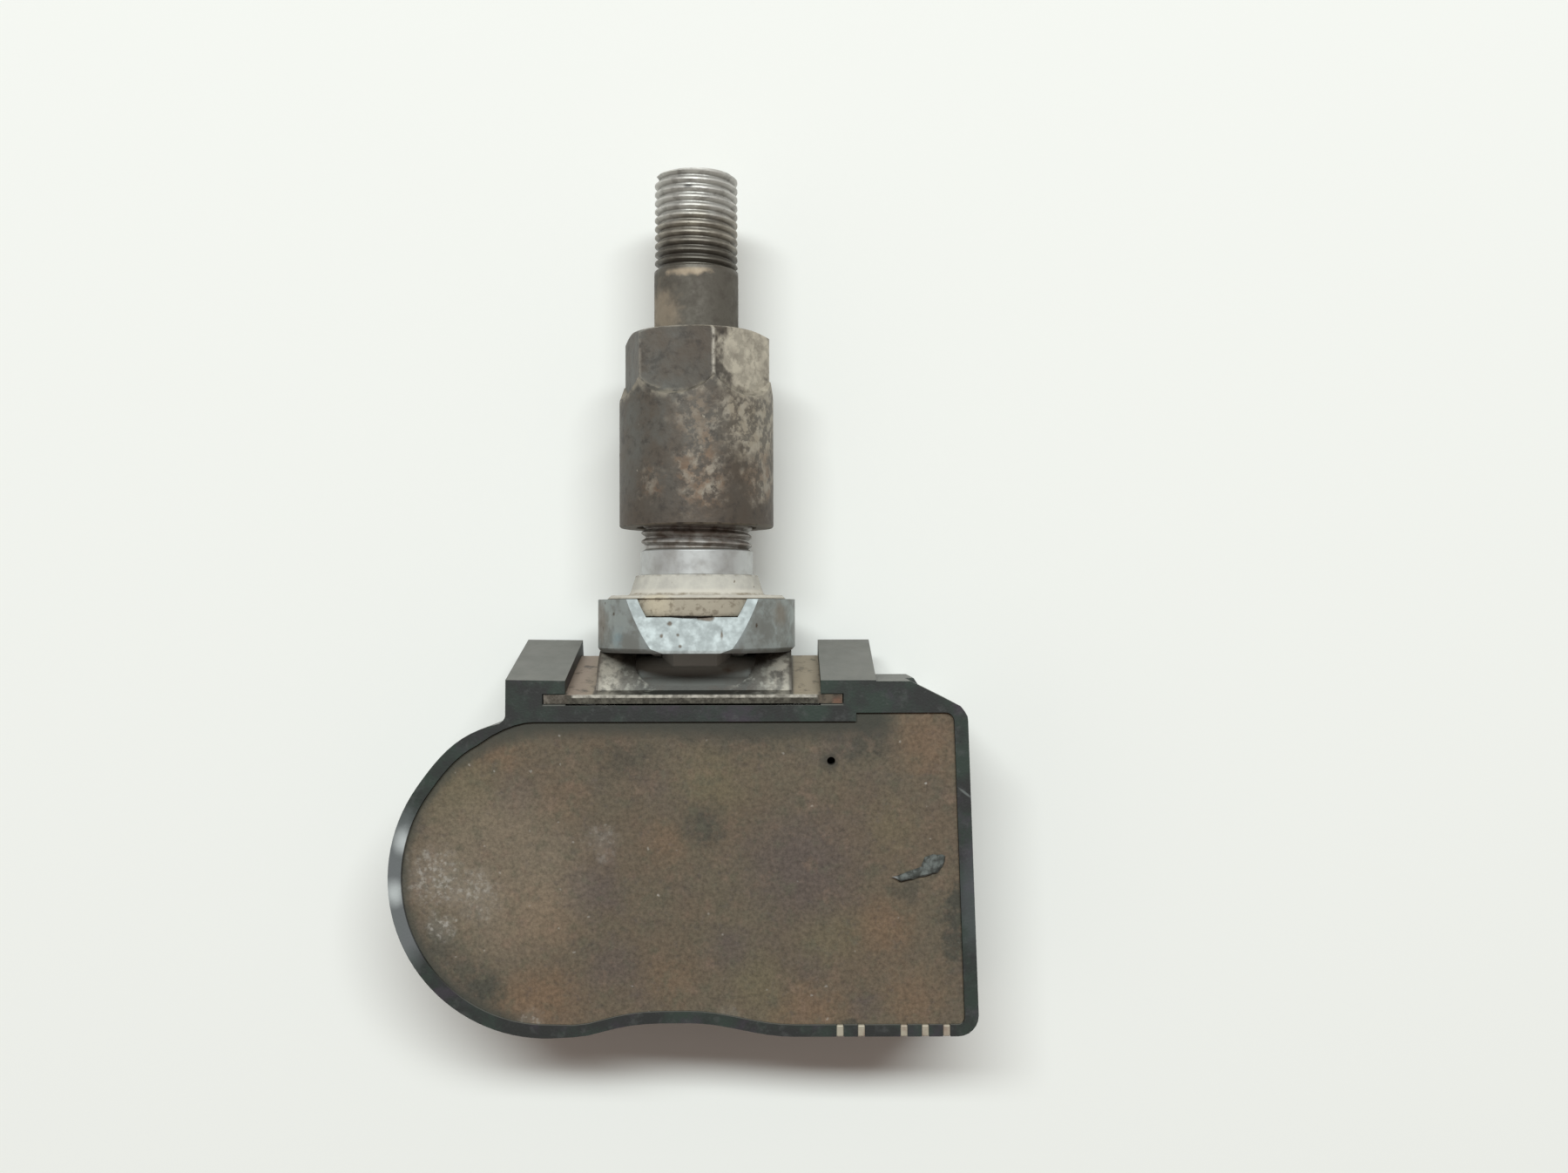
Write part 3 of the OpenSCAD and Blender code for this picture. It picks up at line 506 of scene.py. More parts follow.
def rubberMaterial():
    material, tree, shader, at = newMaterial("paleRubber", 0.8, 0.0, 0.25)
    chalk, grey, tan, dirt = (0.56, 0.55, 0.49, 1), (0.45, 0.44, 0.4, 1), (0.4, 0.36, 0.28, 1), (0.15, 0.12, 0.085, 1)
    place = xyz(tree, at)
    tone = mixColour(tree, mask(tree, at, 0.5, 0.35, 0.65, 1.0), chalk, grey)
    flange = bandOf(tree, place["Y"], -3.1, -2.4, 0.2)
    tone = mixColour(tree, times(tree, flange, 0.7), tone, (0.62, 0.59, 0.52, 1))
    lip = bandOf(tree, place["Y"], -6.0, -3.15, 0.12)
    tone = mixColour(tree, times(tree, lip, 0.9), tone, tan)
    pale = spotAt(tree, at, (-3.2, -3.6, 7.4), 2.2, 1.8, 0.3)
    tone = mixColour(tree, times(tree, pale, 0.7), tone, (0.62, 0.56, 0.42, 1))
    crease = bandOf(tree, place["Y"], -2.95, -2.72, 0.1)
    tone = mixColour(tree, times(tree, crease, mask(tree, at, 0.9, 0.35, 0.65, 5.0)), tone, (0.25, 0.21, 0.15, 1))
    rim = bandOf(tree, place["Y"], -1.25, -1.0, 0.1)
    soiled = times(tree, mask(tree, at, 1.0, 0.45, 0.65, 6.0), 0.5)
    tone = mixColour(tree, times(tree, rim, soiled), tone, dirt)
    speckled = times(tree, lip, mask(tree, at, 1.8, 0.5, 0.66, 27.0, 5.0))
    tone = mixColour(tree, times(tree, speckled, 0.6), tone, dirt)
    flecks = useGroup(tree, specks, vector=at, spacing=0.9, size=0.16, share=0.35).outputs["Mask"]
    rightSide = addNode(tree, "ShaderNodeMapRange", {
        "Value": place["X"], "From Min": -2.0, "From Max": 4.0, "To Min": 0.35, "To Max": 1.0})
    tone = mixColour(tree, times(tree, flecks, rightSide.outputs[0]), tone, dirt)
    # painted shade: near-black band along the bottom of the seal
    uneven = mathNode(tree, "ADD", place["Y"], times(tree, mask(tree, at, 0.8, 0.3, 0.7, 12.0), 0.12))
    bottomRimShade = bandOf(tree, uneven, -5.6, -4.72, 0.06)
    tone = mixColour(tree, bottomRimShade, tone, (0.03, 0.026, 0.02, 1))
    tree.links.new(tone, shader.inputs["Base Color"])
    fine = addNode(tree, "ShaderNodeTexNoise", {"Vector": at, "Scale": 3.0, "Detail": 5.0})
    setBump(tree, shader, fine.outputs["Fac"], 0.4, 0.1)
    return material


def zincMaterial():
    material, tree, shader, at = newMaterial("zincPlate", 0.48, 0.35, 0.5)
    plate, dull, white, stain = (0.31, 0.345, 0.335, 1), (0.21, 0.22, 0.205, 1), (0.285, 0.32, 0.32, 1), (0.085, 0.068, 0.05, 1)
    facing = xyz(tree, addNode(tree, "ShaderNodeTexCoord").outputs["Normal"])
    flat = addNode(tree, "ShaderNodeMapRange", {
        "Value": facing["Z"], "From Min": 0.86, "From Max": 0.93}, interpolation_type="SMOOTHSTEP")
    side = mixColour(tree, mask(tree, at, 0.6, 0.4, 0.6, 2.0, 7.0), plate, dull)
    for centre, radius, tint in (((-8.2, -5.4, 3.0), 2.4, (0.17, 0.135, 0.1, 1)), ((-6.6, -6.6, 6.0), 1.3, (0.24, 0.33, 0.36, 1)),
                                 ((7.6, -4.6, 4.6), 1.6, (0.2, 0.165, 0.125, 1))):
        side = mixColour(tree, times(tree, spotAt(tree, at, centre, radius, 1.4, 0.4), 0.7), side, tint)
    bare = mixColour(tree, mask(tree, at, 0.8, 0.45, 0.75, 8.0), white, (0.245, 0.275, 0.275, 1))
    tone = mixColour(tree, flat.outputs[0], side, bare)
    pits = useGroup(tree, specks, vector=at, spacing=1.4, size=0.15, share=0.45).outputs["Mask"]
    tone = mixColour(tree, pits, tone, stain)
    for centre, radius, stretch in (((-1.9, -5.4, 7.6), 0.3, (1, 1, 0.3)), ((-2.6, -6.5, 7.9), 0.24, (1, 1, 0.3)),
                                    ((-1.2, -6.4, 7.9), 0.22, (1, 1, 0.3)), ((2.6, -6.3, 7.9), 0.3, (1.6, 0.5, 0.3)),
                                    ((1.2, -4.9, 7.5), 0.5, (0.5, 1.2, 0.3))):
        tone = mixColour(tree, spotAt(tree, at, centre, radius, 0.2, 0.12, stretch), tone, stain)
    foot = bandOf(tree, xyz(tree, at)["Y"], -9.0, -7.75, 0.15)
    tone = mixColour(tree, times(tree, foot, 0.55), tone, (0.1, 0.095, 0.085, 1))
    tree.links.new(tone, shader.inputs["Base Color"])
    rough = addNode(tree, "ShaderNodeMapRange", {
        "Value": mask(tree, at, 1.2, 0.3, 0.7, 4.0), "To Min": 0.4, "To Max": 0.6})
    tree.links.new(rough.outputs[0], shader.inputs["Roughness"])
    setBump(tree, shader, pits, -0.5, 0.1)
    return material


def bracketMaterial():
    material, tree, shader, at = newMaterial("stainedSheet", 0.52, 0.35, 0.5)
    sheet, tan, pink = (0.115, 0.11, 0.093, 1), (0.34, 0.285, 0.205, 1), (0.33, 0.255, 0.205, 1)
    dark, copper = (0.05, 0.043, 0.034, 1), (0.3, 0.17, 0.12, 1)
    place = xyz(tree, at)
    far = mathNode(tree, "ABSOLUTE", place["X"])
    wing = addNode(tree, "ShaderNodeMapRange", {"Value": far, "From Min": 8.5, "From Max": 9.0})
    leftWing = addNode(tree, "ShaderNodeMapRange", {"Value": place["X"], "From Min": -8.0, "From Max": -10.0})
    tone = mixColour(tree, mask(tree, at, 0.7, 0.35, 0.65, 3.0, 5.0), sheet, (0.085, 0.08, 0.068, 1))
    tone = mixColour(tree, wing.outputs[0], tone, tan)
    tone = mixColour(tree, times(tree, leftWing.outputs[0], 0.85), tone, pink)
    # painted highlights on the saddle ends, broken into mottles
    endHighlights = times(tree, bandOf(tree, far, 6.6, 8.5, 0.5), mask(tree, at, 1.0, 0.36, 0.6, 51.0, 6.0))
    tone = mixColour(tree, times(tree, endHighlights, 0.85), tone, (0.37, 0.35, 0.295, 1))
    # painted shade: the middle of the saddle, under the collar, is darkened
    underCollarShade = addNode(tree, "ShaderNodeMapRange", {
        "Value": far, "From Min": 6.0, "From Max": 4.2, "To Max": 0.8}, interpolation_type="SMOOTHSTEP")
    tone = mixColour(tree, underCollarShade.outputs[0], tone, (0.035, 0.037, 0.032, 1))
    chalk = times(tree, mask(tree, at, 1.3, 0.5, 0.64, 57.0, 6.0), bandOf(tree, far, 3.4, 7.6, 0.8))
    tone = mixColour(tree, times(tree, chalk, 0.6), tone, (0.26, 0.26, 0.225, 1))
    stains = times(tree, mask(tree, at, 0.9, 0.52, 0.68, 9.0, 6.0), 0.75)
    tone = mixColour(tree, stains, tone, dark)
    # painted shadow: dark line at the step between the saddle and the wings
    crease = bandOf(tree, far, 8.45, 8.8, 0.1)
    tone = mixColour(tree, times(tree, crease, 0.7), tone, dark)
    facing = xyz(tree, addNode(tree, "ShaderNodeTexCoord").outputs["Normal"])
    edge = addNode(tree, "ShaderNodeMapRange", {
        "Value": facing["Z"], "From Min": 0.86, "From Max": 0.94}, interpolation_type="SMOOTHSTEP")
    upper = addNode(tree, "ShaderNodeMapRange", {"Value": place["Z"], "From Min": 5.4, "From Max": 5.6})
    speckled = mixColour(tree, mask(tree, at, 2.6, 0.35, 0.65, 4.0), (0.17, 0.165, 0.135, 1), (0.07, 0.066, 0.054, 1))
    tone = mixColour(tree, times(tree, edge.outputs[0], upper.outputs[0]), tone, speckled)
    # painted highlight along the front edge of the top, dull brown on the tails
    topEdgeHighlight = times(tree, bandOf(tree, place["Y"], -11.92, -11.66, 0.05), upper.outputs[0])
    topEdgeHighlight = times(tree, topEdgeHighlight, bandOf(tree, place["X"], -10.6, 10.9, 0.15))
    highlightBreakup = addNode(tree, "ShaderNodeMapRange", {
        "Value": mask(tree, at, 1.4, 0.36, 0.6, 41.0, 6.0), "To Min": 0.3, "To Max": 1.0})
    tone = mixColour(tree, times(tree, topEdgeHighlight, highlightBreakup.outputs[0]), tone, (0.72, 0.71, 0.63, 1))
    tails = times(tree, upper.outputs[0], bandOf(tree, far, 11.0, 14.0, 0.2))
    tailTone = mixColour(tree, leftWing.outputs[0], (0.2, 0.17, 0.13, 1), (0.26, 0.24, 0.205, 1))
    tailTone = mixColour(tree, mask(tree, at, 1.6, 0.4, 0.62, 81.0, 6.0), tailTone, (0.1, 0.088, 0.072, 1))
    tone = mixColour(tree, times(tree, tails, 0.9), tone, tailTone)
    rust = spotAt(tree, at, (12.7, -12.3, 6.0), 0.7, 0.5, 0.2)
    tone = mixColour(tree, times(tree, rust, 0.7), tone, copper)
    tree.links.new(tone, shader.inputs["Base Color"])
    fine = addNode(tree, "ShaderNodeTexNoise", {"Vector": at, "Scale": 4.0, "Detail": 5.0})
    setBump(tree, shader, fine.outputs["Fac"], 0.35, 0.08)
    return material


def boltMaterial():
    material, tree, shader, at = newMaterial("darkSteel", 0.6, 0.1, 0.5)
    grey, brown, dark = (0.1, 0.105, 0.094, 1), (0.085, 0.08, 0.068, 1), (0.6, 0.64, 0.6, 1)
    place = xyz(tree, at)
    tone = mixColour(tree, mask(tree, at, 0.6, 0.45, 0.7, 3.0, 5.0), grey, brown)
    # painted light and shade: the part lit by the lamp keeps the dark tones, the part in the collar's shadow is
    # painted light with the tone named dark
    shadedSideLift = addNode(tree, "ShaderNodeMapRange", {"Value": place["Y"], "From Min": -10.3, "From Max": -9.5})
    tone = mixColour(tree, shadedSideLift.outputs[0], tone, dark)
    rust = spotAt(tree, at, (3.0, -8.8, 3.4), 1.3, 0.8, 0.3)
    tone = mixColour(tree, times(tree, rust, 0.8), tone, (0.2, 0.13, 0.075, 1))
    tree.links.new(tone, shader.inputs["Base Color"])
    return material


def stemMaterial():
    material, tree, shader, at = newMaterial("tarnishedStem", 0.42, 0.45, 0.5)
    silver, warm, grey = (0.6, 0.595, 0.56, 1), (0.38, 0.355, 0.3, 1), (0.13, 0.12, 0.1, 1)
    dirty, cream, bright = (0.07, 0.058, 0.048, 1), (0.42, 0.35, 0.26, 1), (0.52, 0.535, 0.53, 1)
    place = xyz(tree, at)
    wander = addNode(tree, "ShaderNodeTexNoise", {"Vector": at, "Scale": 0.5, "Detail": 5.0})
    shifted = mathNode(tree, "ADD", place["Y"], mathNode(tree, "MULTIPLY", wander.outputs["Fac"], 4.0))
    warmth = addNode(tree, "ShaderNodeMapRange", {
        "Value": shifted, "From Min": 29.6, "From Max": 32.2}, interpolation_type="SMOOTHSTEP")
    shine = addNode(tree, "ShaderNodeMapRange", {
        "Value": shifted, "From Min": 32.4, "From Max": 34.6}, interpolation_type="SMOOTHSTEP")
    tone = mixColour(tree, warmth.outputs[0], grey, warm)
    tone = mixColour(tree, shine.outputs[0], tone, silver)
    # dirt in the roots of the cap thread
    radius = mathNode(tree, "POWER", mathNode(tree, "ADD", mathNode(tree, "MULTIPLY", place["X"], place["X"]),
                                              mathNode(tree, "MULTIPLY", place["Z"], place["Z"])), 0.5)
    root = addNode(tree, "ShaderNodeMapRange", {"Value": radius, "From Min": 3.68, "From Max": 3.5})
    threaded = bandOf(tree, place["Y"], 27.0, 35.2, 0.1)
    rootDirt = addNode(tree, "ShaderNodeMapRange", {"Value": shine.outputs[0], "To Min": 0.5, "To Max": 0.3})
    tone = mixColour(tree, times(tree, times(tree, root.outputs[0], threaded), rootDirt.outputs[0]), tone,
                     (0.03, 0.026, 0.022, 1))
    mottle = mask(tree, at, 0.9, 0.46, 0.62, 8.0, 6.0)
    tone = mixColour(tree, times(tree, mottle, 0.36), tone, dirty)
    # tan dirt on the plain part: at its top edge and low on the left
    plain = bandOf(tree, place["Y"], 20.8, 26.4, 0.2)
    topEdge = spotAt(tree, at, (-0.4, 26.3, 3.8), 1.6, 0.9, 0.5, (0.7, 2.4, 0.3))
    lowLeft = spotAt(tree, at, (-3.0, 22.4, 3.0), 2.4, 1.8, 0.7, (1, 0.7, 0.4))
    patches = mathNode(tree, "MAXIMUM", topEdge, times(tree, lowLeft, 0.6))
    tone = mixColour(tree, times(tree, patches, plain), tone, cream)
    nick = spotAt(tree, at, (-0.5, 33.85, 3.8), 0.55, 0.4, 0.1, (0.8, 1.6, 0.4))
    tone = mixColour(tree, times(tree, nick, 0.9), tone, (0.05, 0.047, 0.045, 1))
    large = bandOf(tree, place["Y"], 1.3, 13.0, 0.15)
    tone = mixColour(tree, large, tone, mixColour(tree, mask(tree, at, 1.0, 0.35, 0.65, 4.0), (0.2, 0.17, 0.145, 1), (0.4, 0.39, 0.37, 1)))
    shank = bandOf(tree, place["Y"], -1.5, 1.15, 0.08)
    smudge = mixColour(tree, mask(tree, at, 0.5, 0.4, 0.7, 6.0), bright, (0.4, 0.4, 0.385, 1))
    tone = mixColour(tree, shank, tone, smudge)
    tree.links.new(tone, shader.inputs["Base Color"])
    rough = addNode(tree, "ShaderNodeMapRange", {
        "Value": mask(tree, at, 1.6, 0.3, 0.7, 4.0), "To Min": 0.34, "To Max": 0.54})
    matte = mathNode(tree, "ADD", rough.outputs[0], times(tree, plain, 0.26))
    tree.links.new(matte, shader.inputs["Roughness"])
    return material


# zones of the nut's worn finish: centre in mm, radius, softness, strength, solid share, tint
nutWear = (
    ((5.6, 13.0, 4.5), 4.4, 2.6, 0.95, 0.2, (0.35, 0.31, 0.24, 1)),
    ((6.2, 7.6, 3.6), 2.6, 1.8, 0.7, 0.15, (0.28, 0.21, 0.15, 1)),
    ((0.4, 12.6, 7.0), 2.8, 2.0, 0.55, 0.0, (0.25, 0.195, 0.14, 1)),
    ((0.8, 7.4, 7.0), 3.4, 2.4, 0.65, 0.0, (0.23, 0.155, 0.1, 1)),
    ((-3.6, 7.0, 6.0), 1.8, 1.5, 0.5, 0.0, (0.2, 0.13, 0.085, 1)),
    ((5.0, 18.6, 4.4), 3.2, 1.1, 1.0, 0.65, (0.56, 0.52, 0.425, 1)),
)


def nutMaterial(v):
    material, tree, shader, at = newMaterial("brownAnodised", 0.55, 0.2, 0.35)
    brown, rust, cream, dark = (0.128, 0.128, 0.115, 1), (0.115, 0.098, 0.079, 1), (0.42, 0.385, 0.315, 1), (0.045, 0.04, 0.036, 1)
    place = xyz(tree, at)
    tone = mixColour(tree, mask(tree, at, 0.35, 0.35, 0.65, 2.0, 6.0), brown, rust)
    worn = addNode(tree, "ShaderNodeMapRange", {
        "Value": place["X"], "From Min": -3.0, "From Max": 1.0, "To Max": 0.5}, interpolation_type="SMOOTHSTEP")
    tone = mixColour(tree, worn.outputs[0], tone, (0.088, 0.071, 0.055, 1))
    lower = addNode(tree, "ShaderNodeMapRange", {
        "Value": place["Y"], "From Min": 11.0, "From Max": 4.0, "To Max": 0.6}, interpolation_type="SMOOTHSTEP")
    tone = mixColour(tree, lower.outputs[0], tone, (0.085, 0.066, 0.05, 1))
    tone = mixColour(tree, times(tree, mask(tree, at, 1.2, 0.48, 0.68, 8.0, 7.0), 0.6), tone, dark)
    network = mathNode(tree, "MAXIMUM", mask(tree, at, 0.85, 0.47, 0.56, 14.0, 7.0), times(
        tree, mask(tree, at, 1.9, 0.48, 0.6, 19.0, 6.0), 0.7))
    for centre, radius, soft, amount, solid, tint in nutWear:
        there = spotAt(tree, at, centre, radius, soft, 0.8, (1, 0.8, 0.45))
        shade = mixColour(tree, mask(tree, at, 0.7, 0.4, 0.65, 33.0, 5.0), tint, cream)
        cover = addNode(tree, "ShaderNodeMapRange", {"Value": network, "To Min": solid, "To Max": 1.0})
        tone = mixColour(tree, times(tree, times(tree, cover.outputs[0], there), amount), tone, shade)
    # bare edges of the flats and of their curved run-outs
    turn = mathNode(tree, "SUBTRACT", mathNode(tree, "ARCTAN2", place["X"], place["Z"]),
                    math.radians(v["turnDegrees"]))
    wrapped = addNode(tree, "ShaderNodeMath", {0: turn, 1: math.radians(30), 2: math.radians(-30)},
                      operation="WRAP").outputs[0]
    across = mathNode(tree, "MULTIPLY", mathNode(tree, "TANGENT", wrapped), v["flat"])
    square = mathNode(tree, "MULTIPLY", across, across)
    rise = mathNode(tree, "SUBTRACT", v["arcRadius"], mathNode(
        tree, "POWER", mathNode(tree, "SUBTRACT", v["arcRadius"] ** 2, square), 0.5))
    above = mathNode(tree, "SUBTRACT", mathNode(tree, "SUBTRACT", place["Y"], nutHigh.y / mm - v["arcDepth"]), rise)
    chips = mask(tree, at, 1.3, 0.36, 0.56, 21.0, 6.0)
    runOut = times(tree, bandOf(tree, above, -0.7, 0.05, 0.3), mask(tree, at, 0.9, 0.4, 0.58, 71.0, 6.0))
    tone = mixColour(tree, times(tree, runOut, 0.75), tone, (0.33, 0.3, 0.24, 1))
    corner = addNode(tree, "ShaderNodeMapRange", {
        "Value": mathNode(tree, "ABSOLUTE", across), "From Min": 3.2, "From Max": 3.4})
    hexagon = addNode(tree, "ShaderNodeMapRange", {"Value": above, "From Min": 0.0, "From Max": 0.2})
    lit = times(tree, times(tree, corner.outputs[0], hexagon.outputs[0]), chips)
    rightEdge = addNode(tree, "ShaderNodeMapRange", {
        "Value": place["X"], "From Min": -2.0, "From Max": 1.0, "To Min": 0.25, "To Max": 0.9})
    tone = mixColour(tree, times(tree, lit, rightEdge.outputs[0]), tone, (0.5, 0.47, 0.4, 1))
    topRim = times(tree, bandOf(tree, place["Y"], nutHigh.y / mm - 0.12, nutHigh.y / mm + 0.2, 0.06), chips)
    tone = mixColour(tree, times(tree, topRim, 0.6), tone, (0.36, 0.33, 0.27, 1))
    foot = times(tree, bandOf(tree, place["Y"], nutLow.y / mm - 0.2, nutLow.y / mm + 0.12, 0.08), chips)
    tone = mixColour(tree, times(tree, foot, 0.5), tone, (0.3, 0.26, 0.2, 1))
    crumbs = useGroup(tree, specks, vector=at, spacing=1.2, size=0.09, share=0.12).outputs["Mask"]
    tone = mixColour(tree, times(tree, crumbs, 0.7), tone, cream)
    tree.links.new(tone, shader.inputs["Base Color"])
    fine = addNode(tree, "ShaderNodeTexNoise", {"Vector": at, "Scale": 1.4, "Detail": 6.0})
    setBump(tree, shader, fine.outputs["Fac"], 0.35, 0.15)
    return material


def flakeMaterial():
    material, tree, shader, at = newMaterial("greyDirt", 0.8, 0.0, 0.3)
    tone = mixColour(tree, mask(tree, at, 1.6, 0.4, 0.62, 2.0, 6.0), (0.055, 0.06, 0.055, 1), (0.15, 0.168, 0.16, 1))
    tip = spotAt(tree, at, (17.5, -27.78, 6.1), 0.55, 0.45, 0.1, (1, 1, 0.2))
    tone = mixColour(tree, times(tree, tip, 0.85), tone, (0.34, 0.35, 0.35, 1))
    tree.links.new(tone, shader.inputs["Base Color"])
    return material


def plainMaterial(name, colour, other, roughness, metallic, scale=1.0, low=0.4, high=0.6):
    material, tree, shader, at = newMaterial(name, roughness, metallic)
    tone = mixColour(tree, mask(tree, at, scale, low, high, 2.0), colour, other)
    tree.links.new(tone, shader.inputs["Base Color"])
    return material


def floorMaterial(v):
    material, tree, shader, at = newMaterial("paleFloor", 0.8, 0.0, 0.2)
    shader.inputs["Base Color"].default_value = v["colour"]
    return material


# pieces

stemShape = {
    "boreRadius": 2.6, "tipChamfer": 0.25, "capRoot": 3.42, "capCrest": 3.8, "capPitch": 0.794,
    "plainRadius": 3.86, "nutRoot": 4.66, "nutCrest": 5.08, "nutPitch": 0.8, "shankRadius": 5.15,
    "seatRadius": 4.9, "steps": 64,
}


# a V thread wound by a screwed spin, its ends drawn down to the root
def threadRidge(low, high, root, crest, pitch, steps):
    bm = bmesh.new()
    half, flat = pitch * 0.49, pitch * 0.09
    section = ((low, root - 0.05), (low + half - flat, crest), (low + half + flat, crest),
               (low + 2 * half, root - 0.05))
    points = [bm.verts.new((r * mm, y * mm, 0)) for y, r in section]
    edges = [bm.edges.new(pair) for pair in zip(points, points[1:])]
    turns = (high - low) / pitch - 1
    count = int(turns * steps)
    bmesh.ops.spin(bm, geom=points + edges, cent=(0, 0, 0), axis=(0, -1, 0),
                   dvec=(0, pitch / steps * mm, 0), angle=math.tau * turns, steps=count,
                   use_merge=False, use_duplicate=False)
    bmesh.ops.remove_doubles(bm, verts=bm.verts, dist=0.0002 * mm)
    bmesh.ops.holes_fill(bm, edges=[e for e in bm.edges if e.is_boundary], sides=4)
    bmesh.ops.recalc_face_normals(bm, faces=bm.faces)
    return bm


def makeStem(v, material):
    tip, shank = tipY / mm, shankHalf / mm
    capLow = tip - 8.7
    profile = [
        (tip - 9.0, v["boreRadius"]), (tip - 0.2, v["boreRadius"]), (tip, v["boreRadius"] + 0.2),
        (tip, v["capRoot"] - v["tipChamfer"] + 0.2), (tip - v["tipChamfer"], v["capRoot"]),
        (capLow, v["capRoot"]), (capLow - 0.15, v["plainRadius"]), (shank + 13.0, v["plainRadius"]),
        (shank + 12.0, v["nutRoot"]), (shank + 0.25, v["nutRoot"]), (shank, v["shankRadius"]),
        (-shank, v["shankRadius"]), (-shank - 0.02, v["seatRadius"]), (stemLow.y / mm, v["seatRadius"]),
        (stemLow.y / mm, v["boreRadius"]), (tip - 9.0, v["boreRadius"])]
    piece = linked("stemTube", revolve(profile, v["steps"] * 2), "stem", material,
                   ("valve_stem",))
    roundEdges(piece, 0.06, 2, 40)
    cap = threadRidge(capLow - 0.1, tip + 0.3, v["capRoot"], v["capCrest"], v["capPitch"], v["steps"])
    # the thread runs out through the tip's chamfer
    for vert in cap.verts:
        out = Vector((vert.co.x, 0, vert.co.z))
        over = vert.co.y / mm - (tip - 0.3)
        if over > 0:
            limit = v["capCrest"] - over if over < 0.28 else v["capRoot"] - 0.3
            vert.co = out * min(1, limit * mm / out.length) + Vector((0, min(vert.co.y, (tip - 0.02) * mm), 0))
    linked("capThread", cap, "stem", material, (), 28)
    large = threadRidge(shank + 0.15, shank + 12.0, v["nutRoot"], v["nutCrest"], v["nutPitch"], v["steps"])
    linked("nutThread", large, "stem", material, (), 28)


grommetShape = {"bore": 4.9, "neckTop": 5.7, "neckLow": 6.2, "flange": 8.0, "lip": 8.2,
                "neckLength": 1.84, "roll": 0.35}


def makeGrommet(v, material):
    top, low = grommetHigh.y / mm, grommetLow.y / mm
    waist = top - v["neckLength"]
    profile = [
        (top, v["bore"] + 0.02), (top, v["neckTop"] - 0.18), (top - 0.06, v["neckTop"] - 0.04),
        (top - 0.2, v["neckTop"]), (waist + 0.35, v["neckLow"] - 0.08), (waist + 0.1, v["neckLow"] + 0.05),
        (waist, v["neckLow"] + 0.3), (waist, v["flange"] - 0.1),
        (waist - 0.22, v["lip"] - 0.1), (waist - 0.3, v["lip"]), (waist - 0.34, v["lip"] - 0.1),
        (waist - 0.34, v["flange"]),
        (low + v["roll"] + 0.1, v["flange"] - 0.02), (low + 0.1, v["flange"] - 0.12),
        (low, v["flange"] - v["roll"]), (low, v["bore"] + 0.02), (top, v["bore"] + 0.02)]
    bm = revolve(profile, 96)
    for vert in bm.verts:
        ripple = noise.noise(vert.co / mm * 0.55) * 0.07
        out = Vector((vert.co.x, 0, vert.co.z))
        if out.length > 5.2 * mm and vert.co.y > low * mm:
            vert.co += out.normalized() * (ripple - 0.06) * mm
    linked("grommetSeal", bm, "stem", material, ("grommet",), 50)


# sizes in mm; each flat of the hexagon runs out in an arc
nutShape = {
    "round": 7.05, "flat": 6.0, "turnDegrees": -14, "arcRadius": 5.1, "arcDepth": 5.75, "shoulder": 0.45,
    "columns": 12, "bore": 5.0, "mouth": 5.5, "mouthDepth": 0.55, "lipBore": 4.16, "lip": 2.8,
    "topDrop": 0.5, "foot": 0.12,
}


def makeNut(v, material):
    low, top = nutLow.y / mm, nutHigh.y / mm
    reach = v["flat"] * math.tan(math.radians(30))
    corner = v["flat"] / math.cos(math.radians(30))
    bm = bmesh.new()
    columns = []
    for side in range(6):
        for step in range(v["columns"]):
            u = reach * (2 * step / v["columns"] - 1)
            angle = math.radians(v["turnDegrees"] + 60 * side) + math.atan2(u, v["flat"])
            onFlat = math.hypot(u, v["flat"])
            seat = top - v["arcDepth"] + v["arcRadius"] - math.sqrt(v["arcRadius"] ** 2 - u * u)
            slope = v["shoulder"] * (v["round"] - onFlat) / (v["round"] - v["flat"])
            drop = v["topDrop"] * (onFlat - v["flat"]) / (corner - v["flat"])
            profile = (
                (low + v["mouthDepth"], v["bore"]), (low, v["mouth"]), (low, v["round"] - v["foot"]),
                (low + v["foot"], v["round"]), (seat - slope, v["round"]), (seat, onFlat),
                (top - drop, onFlat), (top, v["flat"]), (top, v["lipBore"]),
                (top - v["lip"], v["lipBore"]), (top - v["lip"], v["bore"]))
            columns.append([bm.verts.new((r * math.sin(angle) * mm, y * mm, r * math.cos(angle) * mm))
                            for y, r in profile])
    for here, there in zip(columns, columns[1:] + columns[:1]):
        for i in range(len(here)):
            j = (i + 1) % len(here)
            bm.faces.new((here[i], here[j], there[j], there[i]))
    bmesh.ops.remove_doubles(bm, verts=bm.verts, dist=0.001 * mm)
    bmesh.ops.dissolve_degenerate(bm, dist=0.001 * mm, edges=bm.edges)
    bmesh.ops.recalc_face_normals(bm, faces=bm.faces)
    piece = linked("nutBody", bm, "nut", material, ("sleeve_nut",), 25)
    roundEdges(piece, 0.07, 2, 34)


# a chip of grey dirt that lies on the resin: outline in mm, thickness, height of its rough middle
flakeShape = {
    "outline": ((17.39, -27.66), (18.2, -28.06), (19.73, -27.74), (21.35, -27.3), (21.98, -26.48), (22.07, -25.8),
                (20.99, -25.68), (20.24, -25.94), (19.95, -26.75), (18.83, -27.2)),
    "thickness": 0.2,
    "ridge": 0.22,
}


